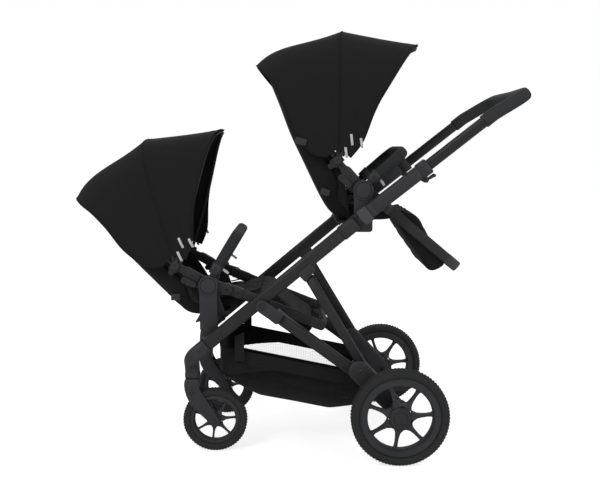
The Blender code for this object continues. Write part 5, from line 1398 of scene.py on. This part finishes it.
def bucket():
    """The seat's padded bucket, from its front edge to its top, with raised side wings."""
    points = []
    for station in PAD_STATIONS:
        thick, high, half = station[3:]
        slim = 0.0016
        low = min(thick * 0.6, high * 0.5)
        wing = high - 0.003 if high > thick + 0.006 else thick
        inner = half - PAD_WALL
        right = [(0.0, thick * 1.03 - slim), (half * 0.28, thick * 1.02 - slim),
                 (half * 0.55, thick - slim), (inner - 0.006, thick * 0.97 - slim),
                 (inner + slim, wing - slim), (inner + 0.002 + slim, high - slim),
                 (half - 0.004 - slim, high - slim), (half - slim, high - 0.003 - slim),
                 (half - slim, low), (half * 0.93, 0.0015 + slim), (half * 0.5, slim), (0.0, slim)]
        section = right + [(-y, u) for y, u in right[-2:0:-1]]
        for y, u in section:
            points.append(pad_point(station, y, u))
    made = piece("bucket", points, ring_faces(len(PAD_STATIONS), len(section), capped=True), LINER_CLOTH)
    return plumped(made, LINER_CLOTH, 0.0064, 4.0, 0.0050, 3)


def pad_reading(points):
    """For each point: its station as a fractional number, the pad's outward angle, the gap."""
    line = np.array([tuple(pad_front(k, 0.0)) for k in range(len(PAD_STATIONS))])[:, [0, 2]]
    flat = points[:, [0, 2]]
    near = np.argmin(((flat[:, None, :] - line[None, :, :]) ** 2).sum(axis=2), axis=1)
    ahead = line[np.minimum(near + 1, len(line) - 1)] - line[np.maximum(near - 1, 0)]
    length = np.maximum(1e-6, np.hypot(ahead[:, 0], ahead[:, 1]))
    part = ((flat - line[near]) * ahead).sum(axis=1) / length ** 2 * 2
    out = np.radians([PAD_STATIONS[k][2] for k in near])
    return near, near + part, np.stack([np.cos(out), np.sin(out)], axis=1), length / 2


def quilted(made):
    """Draws the padded face in along its sewn channels, and colours shell and liner."""
    mesh = made.data
    rows = np.array(PAD_STATIONS)
    count = len(mesh.vertices)
    points, normals = np.empty(count * 3), np.empty(count * 3)
    mesh.vertices.foreach_get("co", points)
    mesh.vertices.foreach_get("normal", normals)
    points, normals = points.reshape(-1, 3), normals.reshape(-1, 3)
    near, spot, out, span = pad_reading(points)
    facing = normals[:, 0] * out[:, 0] + normals[:, 2] * out[:, 1]
    above = ((points[:, [0, 2]] - rows[near][:, :2]) * out).sum(axis=1)
    seams = np.array([7.5, 13.5, 19.5, 24.5, 29.5, 34.0])
    away = np.abs(spot[:, None] - seams[None, :]).min(axis=1) * span
    y, edge = np.abs(points[:, 1]), rows[near][:, 5] * 0.56
    depth = np.where(y < edge, 0.0030 * np.exp(-(away / 0.0055) ** 2), 0)
    depth = np.maximum(depth, 0.0034 * np.exp(-((y - edge) / 0.0055) ** 2))
    depth *= np.clip((facing - 0.6) / 0.25, 0, 1) * (above > rows[near][:, 3] * 0.55)
    mesh.vertices.foreach_set("co", (points - normals * depth[:, None]).ravel())
    mesh.materials.append(SHELL_CLOTH)
    count = len(mesh.polygons)
    centres, facings = np.empty(count * 3), np.empty(count * 3)
    mesh.polygons.foreach_get("center", centres)
    mesh.polygons.foreach_get("normal", facings)
    centres, facings = centres.reshape(-1, 3), facings.reshape(-1, 3)
    near, spot, out, span = pad_reading(centres)
    facing = facings[:, 0] * out[:, 0] + facings[:, 2] * out[:, 1]
    shell = (facing < -0.25) | (np.abs(centres[:, 1]) > rows[near][:, 5] - 0.0075)
    mesh.polygons.foreach_set("material_index", shell.astype(np.int32))
    mesh.update()
    return made


for one in fitted(quilted(bucket()), "seat_padding", "seat", "seat_pad").values():
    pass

REST_OUTLINE = [
    (0.1080, -0.0660), (0.1300, -0.0640), (0.1500, -0.0705), (0.1690, -0.0885), (0.1822, -0.1120),
    (0.1943, -0.1330), (0.2090, -0.1580), (0.2320, -0.1900), (0.2500, -0.2130), (0.2480, -0.2280),
    (0.2139, -0.2450), (0.2010, -0.2390), (0.1723, -0.1981), (0.1530, -0.1720), (0.1361, -0.1478),
    (0.1150, -0.1140), (0.1020, -0.0900)]


def rest_pad():
    """The leg rest's panel: a wedge of padded cloth that hangs between the rails."""
    half, points = 0.1318, []
    around = smooth_run(REST_OUTLINE + REST_OUTLINE[:1], 2)[:-1]
    middle = [sum(p[i] for p in around) / len(around) for i in (0, 1)]
    across = [(-1.0, 0.965), (-0.975, 0.985), (-0.9, 0.99), (-0.5, 0.985), (0.0, 0.985), (0.5, 0.985),
              (0.9, 0.99), (0.975, 0.985), (1.0, 0.965)]
    for share, size in across:
        for x, z in around:
            points.append((middle[0] + (x - middle[0]) * size, half * share,
                           middle[1] + (z - middle[1]) * size))
    faces = ring_faces(len(across), len(around), capped=True)
    made = plumped(piece("rest_pad", points, faces, SHELL_CLOTH), SHELL_CLOTH, 0.0060, 3.0, 0.0030, 8)
    start, way = in_space(on_line(REST_PIVOT, REST_ANGLE, 0.10), 0), in_space(on_line((0, 0), -58, 1), 0)
    for vertex in made.data.vertices:
        down = (Vector((vertex.co.x, 0, vertex.co.z)) - start).dot(way)
        away = min(abs(down - d) for d in (0.045, 0.085, 0.125))
        inward = max(0.0, 1 - abs(vertex.co.y) / (half * 0.93))
        dent = 0.0016 * math.exp(-(away / 0.006) ** 2) * min(1.0, inward * 5)
        vertex.co -= vertex.normal * dent
    return made


for one in fitted(rest_pad(), "rest_padding", "legrest", "legrest_pad").values():
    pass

# Piping on the wings, the sewn patches on the shell's back, and the panel that bridges the seat's
# front edge and the leg rest
trims = [tape("piping", [pad_point(st, s * (st[5] - 0.0062), st[4] - 0.0004) for st in PAD_STATIONS],
              oval(0.0021, 0.0021, 10, 2), BINDING) for s in (-1, 1)]
trims.append(tape("piping", [pad_front(0.0, -0.118 + 0.236 * i / 24, 0.0008) for i in range(25)],
                  oval(0.0019, 0.0019, 10, 2), BINDING))
fitted(joined("piping", trims), "seat_piping", "seat")


def webbing(name, path, width, finish, up, thick=0.0014):
    """Flat webbing along a path, lying on the face whose normal is up."""
    return drawn(name, path, oval(thick / 2, width / 2, 20, 5), finish, normal=up, ends=0.0003,
                 angle=40)


def patch(x0, z0, x1, z1, y, wide, finish):
    """A sewn patch in the side view, a little fuller in its middle."""
    run = [Vector((x0 + (x1 - x0) * i / 6, y * (1 + 0.008 * math.sin(math.pi * i / 6)),
                   z0 + (z1 - z0) * i / 6)) for i in range(7)]
    return webbing("patch", run, wide, finish, Vector((0, 1, 0)), 0.0018)


PATCH_Y = 0.1502
patches = [patch(-0.1200, -0.0030, -0.0950, -0.0110, s * PATCH_Y, 0.0190, GREY_WEBBING) for s in (-1, 1)]
patches += [patch(0.0500, 0.0310, 0.0630, 0.0120, s * PATCH_Y, 0.0075, REFLECTIVE) for s in (-1, 1)]
fitted(joined("patches", patches), "seat_patches", "seat")
flap_tabs = joined("upper_flap_tabs", [patch(-0.1940, 0.1420, -0.1620, 0.1340, s * (CANOPY_HALF + 0.0028),
                                             0.0190, GREY_WEBBING) for s in (-1, 1)])
flap_tabs.data.transform(Matrix.Translation((SEAT_HUB["upper"][0], 0, SEAT_HUB["upper"][1])))
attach(flap_tabs, "upper_seat")

# Harness: shoulder straps out of their slots, with soft sleeves, hip straps, and a crotch strap
# that ends in the buckle
harness = []
buckle_at = Vector((-0.0040, 0, -0.0215))
CHEST_WAY = Vector((0.9, 0, 0.42))
for s in (-1, 1):
    run = smooth_run([
        pad_front(27.4, s * 0.046, -0.003), pad_front(26.6, s * 0.046, 0.0030),
        pad_front(24.0, s * 0.045, 0.0055),
        pad_front(21.5, s * 0.043, 0.0065), pad_front(19.0, s * 0.038, 0.0090),
        [-0.0560, s * 0.030, 0.0080], [-0.0260, s * 0.0215, -0.0100],
        [buckle_at.x - 0.0040, s * 0.0165, buckle_at.z + 0.0020]], 5)
    harness.append(webbing("shoulder", run, 0.0240, BLACK_WEBBING, CHEST_WAY))
    harness.append(drawn("sleeve", run[6:24], oval(0.0040, 0.0185, 28, 3.2), LINER_CLOTH,
                         normal=CHEST_WAY, ends=0.004))
    hip = smooth_run([
        pad_front(14.2, s * 0.1180, -0.002), pad_front(13.2, s * 0.1060, 0.0060),
        [-0.0480, s * 0.0700, -0.0340], [-0.0230, s * 0.0400, -0.0262],
        [buckle_at.x - 0.0060, s * 0.0180, buckle_at.z - 0.0020]], 5)
    harness.append(webbing("hip", hip, 0.0200, BLACK_WEBBING, Vector((0.45, 0, 0.9))))
crotch = smooth_run([
    pad_front(7.2, 0, -0.003), pad_front(7.6, 0, 0.0040), [0.0190, 0, -0.0440],
    [0.0060, 0, -0.0310], [buckle_at.x, 0, buckle_at.z - 0.004]], 5)
harness.append(webbing("crotch", crotch, 0.0260, BLACK_WEBBING, Vector((0.8, 0, 0.6))))
tilt_up = Matrix.Rotation(math.radians(-52), 4, "Y")


def buckle_plate(name, outline, deep, high, finish, edge):
    """A moulded plate of the buckle, drawn flat and then set at its slant."""
    made = plate(name, outline, deep, high, finish, edge=edge)
    flat = Matrix.Rotation(math.radians(90), 4, "X")
    made.data.transform(Matrix.Translation(buckle_at) @ tilt_up @ flat)
    return made


harness.append(buckle_plate("buckle", [
    (-0.021, -0.015), (-0.017, -0.019), (0.015, -0.019), (0.021, -0.012), (0.023, 0.0),
    (0.021, 0.012), (0.015, 0.019), (-0.017, 0.019), (-0.021, 0.015)],
    -0.0052, 0.0052, DARK_PLASTIC, 0.0022))
harness.append(buckle_plate("press", arc((0.002, 0.0), 0.0092, 0, 350, 35), -0.0064, -0.0040,
                            GREY_PLASTIC, 0.0008))
fitted(joined("harness", harness), "harness", "seat")

# Side panels: a sheet of the outer cloth on each side, from the wing of the pad to the seat's arm
# and back hoop, where it is hooked. Its front edge is bound with tape.
PANEL_Y = 0.1476
PANEL_THICK = 0.0014


def side_panel(s):
    """One sheet between the wing's edge and the frame, a little slack, with a bound front edge."""
    fixed = smooth_run([
        [-0.0400, -0.0740], [-0.0405, -0.0480], [-0.0440, -0.0220], [-0.0500, 0.0080],
        [-0.0585, 0.0400], [-0.0720, 0.0740], [-0.0960, 0.1120], [-0.1230, 0.1520],
        [-0.1500, 0.1900]], 4)
    wing = []
    for i in range(len(fixed)):
        station = station_at(11.5 + 17.5 * i / (len(fixed) - 1))
        wing.append(pad_point(station, s * (station[5] - 0.0052), station[4] - 0.0100))
    points, uv = [], []
    across = 12
    for skin in (0.0, PANEL_THICK):
        for i, (edge, (x, z)) in enumerate(zip(wing, fixed)):
            for j in range(across + 1):
                u = j / across
                y = edge.y + (s * PANEL_Y - edge.y) * min(1.0, u * 1.6)
                crease = math.sin(math.pi * u) * (0.0016 * math.sin(0.55 * i + 5 * u)
                                                  + 0.0010 * math.sin(1.3 * i - 7 * u))
                points.append(Vector((edge.x + (x - edge.x) * u, y - s * (skin + abs(crease)),
                                      edge.z + (z - edge.z) * u)))
                uv.append((0.08 * u, 0.30 * i / len(fixed)))
    panel = piece("side", points, double_skin(across + 1, len(fixed)), CANOPY_CLOTH, uv=uv, angle=60)
    bound = tape("bound", [Vector((x, s * (PANEL_Y - 0.0006), z)) for x, z in fixed[:22]],
                 oval(0.0014, 0.0020, 10, 2), BINDING)
    return panel, bound


side_sheets = [side_panel(s) for s in (-1, 1)]
sides = joined("sides", [p for pair in side_sheets for p in pair])
for which, one in fitted(sides, "side_panels", "seat").items():
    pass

# Link panel: one sheet of the outer cloth from the seat's front edge to the leg rest's top, a
# little slack.
def link_panel():
    stations = [(0.0700, -0.0660), (0.0880, -0.0620), (0.1030, -0.0620), (0.1180, -0.0650),
                (0.1360, -0.0610)]
    run = smooth_run(stations, 5)
    points, uv = [], []
    for side in (0.0, -PANEL_THICK):
        for k, (x, z) in enumerate(run):
            for i in range(25):
                y = -0.116 + 0.232 * i / 24
                points.append(Vector((x, y, z + side + 0.0012 * math.sin(9 * y / 0.116 + k * 0.3))))
                uv.append((y, 0.07 * k / len(run)))
    return piece("link", points, double_skin(25, len(run)), CANOPY_CLOTH, uv=uv, angle=50)


for which, one in fitted(link_panel(), "link_panel", None).items():
    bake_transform(one)


# Basket: a cloth band over the rim rod, gussets at the ends, a fine net along each side, and a tub
# that sags under its own weight. Webbing tabs hold it to the main tubes and the axle housings.
BASKET = (REAR_AXLE[0] - 0.523, REAR_AXLE[0] - 0.078)
RIM_BAND = 0.040
NET_DEPTH = 0.044
TUB_DROP = RIM_BAND + NET_DEPTH + 0.0015
BASKET_HALF = FRONT_WHEEL_Y + 0.003
BASKET_CLOTH = cloth_finish("basket_cloth", (0.0130, 0.0130, 0.0135), (0.0190, 0.0190, 0.0195), 900.0,
                            0.30, 0.0003, 0.08)
NET_YARN = cloth_finish("net_yarn", (0.010, 0.010, 0.011), (0.018, 0.018, 0.019), 2200.0, 0.3, 0.0001,
                        0.05)


def rim_z(x):
    return ELBOW[1] + 0.026 - 0.205 * (x - BASKET[0])


def rim_ring(inwards, corner=14, straights=26):
    """The basket's outline from above, with its rounded corners."""
    found = []
    r = 0.045
    for cx, cy, first in ((BASKET[1], 1, 0), (BASKET[0], 1, 90), (BASKET[0], -1, 180),
                          (BASKET[1], -1, 270)):
        inner = (cx - r if cx == BASKET[1] else cx + r, cy * (BASKET_HALF - r))
        for k in range(corner + 1):
            a = math.radians(first + 90 * k / corner)
            found.append(Vector((inner[0] + (r - inwards) * math.cos(a),
                                 inner[1] + (r - inwards) * math.sin(a))))
    full = []
    for k, p in enumerate(found):
        q = found[(k + 1) % len(found)]
        parts = straights if (q - p).length > 0.05 else 1
        full += [p + (q - p) * i / parts for i in range(parts)]
    return full


def rim_row(inwards, drop):
    """A line of points round the basket, so far inside its outline and below its rim."""
    return [Vector((p.x, p.y, rim_z(p.x) - drop)) for p in rim_ring(inwards)]


def gusset_drop(x, side):
    """How far the gusset reaches down: whole at the ends, nothing along the net."""
    front = min(1.0, max(0.0, (x + 0.205) / 0.150))
    rear = min(1.0, max(0.0, (0.176 - x) / 0.045))
    share = 1 - min(front ** 0.75, rear ** 0.75) if side else 1.0
    return RIM_BAND - 0.0015 + (NET_DEPTH + 0.0050) * share


# The band: a closed profile of (inwards, drop) carried round the basket's outline
band = [rim_row(away, drop) for away, drop in (
    (0.0012, 0.0), (0.0001, 0.0018), (-0.0004, 0.0050), (0.0002, 0.0090), (0.0011, 0.0125),
    (0.0011, 0.0370), (0.0006, 0.0380), (0.0008, 0.0398), (0.0030, 0.0398), (0.0034, 0.0380),
    (0.0028, 0.0370), (0.0028, 0.0125), (0.0040, 0.0090), (0.0046, 0.0050), (0.0040, 0.0018),
    (0.0028, 0.0))]
basket_parts = [piece("band", [p for row in band for p in row],
                      ring_faces(len(band), len(band[0]), closed=True), BASKET_CLOTH, angle=55)]
for drop in (0.0145, 0.0345):
    row = rim_row(0.0009, drop)
    basket_parts.append(stitched(row + row[:1]))
for side in (-1, 1):
    x = KNEE[0] - 0.012
    basket_parts.append(plate("tab", [
        (x, rim_z(x) - 0.030), (x + 0.022, rim_z(x) - 0.035), (x + 0.022, rim_z(x) - 0.010),
        (x, rim_z(x) - 0.006)], side * (BASKET_HALF - 0.002), side * 0.1796, BASKET_CLOTH, edge=0.0008))
    x = BASKET[0] + 0.050
    basket_parts.append(plate("tab", [
        (x, rim_z(x) - 0.026), (x + 0.026, rim_z(x) - 0.030), (x + 0.026, rim_z(x) + 0.052),
        (x, rim_z(x) + 0.040)], side * (BASKET_HALF - 0.002), side * (TUBE_Y - TUBE_HALF[1] - 0.0005),
        BASKET_CLOTH, edge=0.0008))
joined("basket_band", basket_parts, "front_frame", "basket_rim")


def tub_fall(x, y):
    t = min(1.0, max(0.0, (x - BASKET[0]) / (BASKET[1] - BASKET[0])))
    v = min(1.0, abs(y) / (BASKET_HALF - 0.002))
    end = min(1.0, math.sin(math.pi * t) * 1.35) ** 0.8
    deep = 0.003 + end * (0.056 - 0.006 * t)
    fold = 0.0011 * math.sin(38 * x + 9 * math.cos(14 * y)) + 0.0008 * math.sin(61 * y + 12 * x)
    return deep * (1 - v ** 7) + 0.004 * end * (1 - v * v) + fold * end * (1 - v)


def tub():
    """The tub's cloth, in rings from its sewn edge to the middle of its floor."""
    shares = [1.0, 0.995, 0.985, 0.97, 0.95, 0.92, 0.88, 0.82, 0.74, 0.64, 0.52, 0.38, 0.22, 0.08]
    ring = rim_ring(0.0024)
    centre = Vector(((BASKET[0] + BASKET[1]) / 2, 0))
    points, faces = [], []
    for skin in (0.0, 0.0016):
        for share in shares:
            for p in ring:
                q = centre + (p - centre) * share
                fall = tub_fall(q.x, q.y) * min(1.0, (1 - share) * 14)
                points.append(Vector((q.x, q.y, rim_z(q.x) - TUB_DROP - fall + skin)))
        points.append(Vector((centre.x, 0, rim_z(centre.x) - TUB_DROP - tub_fall(centre.x, 0) + skin)))
    n, layers = len(ring), len(shares)
    whole = n * layers + 1
    for skin in (0, 1):
        for k in range(layers - 1):
            for j in range(n):
                i = (j + 1) % n
                a, b = skin * whole + k * n, skin * whole + (k + 1) * n
                faces.append((a + j, b + j, b + i, a + i))
        for j in range(n):
            faces.append((skin * whole + (layers - 1) * n + j, skin * whole + whole - 1,
                          skin * whole + (layers - 1) * n + (j + 1) % n))
    for j in range(n):
        i = (j + 1) % n
        faces.append((j, i, whole + i, whole + j))
    return piece("tub", points, faces, BASKET_CLOTH, angle=60)


def gussets():
    """Cloth between the band and the tub, at the ends and a little way along each side."""
    ring = rim_ring(0.0012)
    n = len(ring)
    steps = 6
    points, faces = [], []
    for skin in (0.0, 0.0012):
        for k in range(steps + 1):
            for p, q in zip(ring, rim_ring(0.0012 + skin)):
                side = abs(p.y) > BASKET_HALF - 0.012
                foot = gusset_drop(p.x, side)
                top = RIM_BAND - 0.0030
                out = 0.0016 * math.sin(math.pi * k / steps) * math.sin(34 * p.x + 21 * p.y)
                drop_here = top + max(0.0, foot - top) * k / steps
                points.append(Vector((q.x, q.y - math.copysign(abs(out), p.y) * (1 if side else 0),
                                      rim_z(p.x) - drop_here)))
    whole = n * (steps + 1)
    for k in range(steps):
        for j in range(n):
            i = (j + 1) % n
            a, b = k * n, (k + 1) * n
            faces.append((a + j, a + i, b + i, b + j))
            faces.append((whole + a + j, whole + b + j, whole + b + i, whole + a + i))
    for j in range(n):
        i = (j + 1) % n
        faces.append((j, whole + j, whole + i, i))
        faces.append((steps * n + j, steps * n + i, whole + steps * n + i, whole + steps * n + j))
    return piece("gussets", points, faces, BASKET_CLOTH, angle=60)


row = rim_row(0.0016, TUB_DROP - 0.0004)
tub_binding = drawn("binding", row + row[:2], oval(0.0022, 0.0030, 10, 2), BINDING, ends=0)
basket_tub = joined("basket_tub_cloth", [tub(), gussets(), tub_binding], "front_frame", "basket_tub")

# Net: a strip of knitted yarn on each side, sewn between the band and the tub. Its hexagons are the
# dual of a triangulated grid, made by a node tree.
KNITTED_NET, given, put = group(
    "knitted_net",
    [("Length", "Float", 0.34), ("Depth", "Float", NET_DEPTH), ("Yarn", "Float", 0.00043),
     ("Cells along", "Int", 62), ("Cells down", "Int", 9), ("Finish", "Material", None)],
    [("Net", "Geometry")], "GeometryNodeTree")
grid = KNITTED_NET.nodes.new("GeometryNodeMeshGrid")
cut_up = new_node(KNITTED_NET, "GeometryNodeTriangulate", quad_method="FIXED")
dual = KNITTED_NET.nodes.new("GeometryNodeDualMesh")
lines = KNITTED_NET.nodes.new("GeometryNodeMeshToCurve")
ring = new_node(KNITTED_NET, "GeometryNodeCurvePrimitiveCircle", {"Resolution": 4})
knitted = KNITTED_NET.nodes.new("GeometryNodeCurveToMesh")
coloured = KNITTED_NET.nodes.new("GeometryNodeSetMaterial")
wired(KNITTED_NET, (given, "Length", grid, "Size X"), (given, "Depth", grid, "Size Y"),
      (given, "Cells along", grid, "Vertices X"), (given, "Cells down", grid, "Vertices Y"),
      (grid, "Mesh", cut_up, "Mesh"), (cut_up, "Mesh", dual, "Mesh"),
      (dual, "Dual Mesh", lines, "Mesh"), (given, "Yarn", ring, "Radius"),
      (lines, "Curve", knitted, "Curve"), (ring, "Curve", knitted, "Profile Curve"),
      (knitted, "Mesh", coloured, "Geometry"), (given, "Finish", coloured, "Material"),
      (coloured, "Geometry", put, "Net"))


def side_net(name, side, node):
    start, stop = BASKET[0] + 0.040, BASKET[1] - 0.040
    made = laid(name, KNITTED_NET, {"Length": stop - start, "Finish": NET_YARN})
    for vertex in made.data.vertices:
        x = vertex.co.x + (start + stop) / 2
        down = NET_DEPTH / 2 - vertex.co.y
        y = side * (BASKET_HALF - 0.0025) + vertex.co.z
        vertex.co = Vector((x, y, rim_z(x) - RIM_BAND + 0.0005 - down))
    made.data.shade_smooth()
    carried(made, "front_frame", node)


side_net("basket_net_left", -1, "basket_net_l")
side_net("basket_net_right", 1, "basket_net_r")
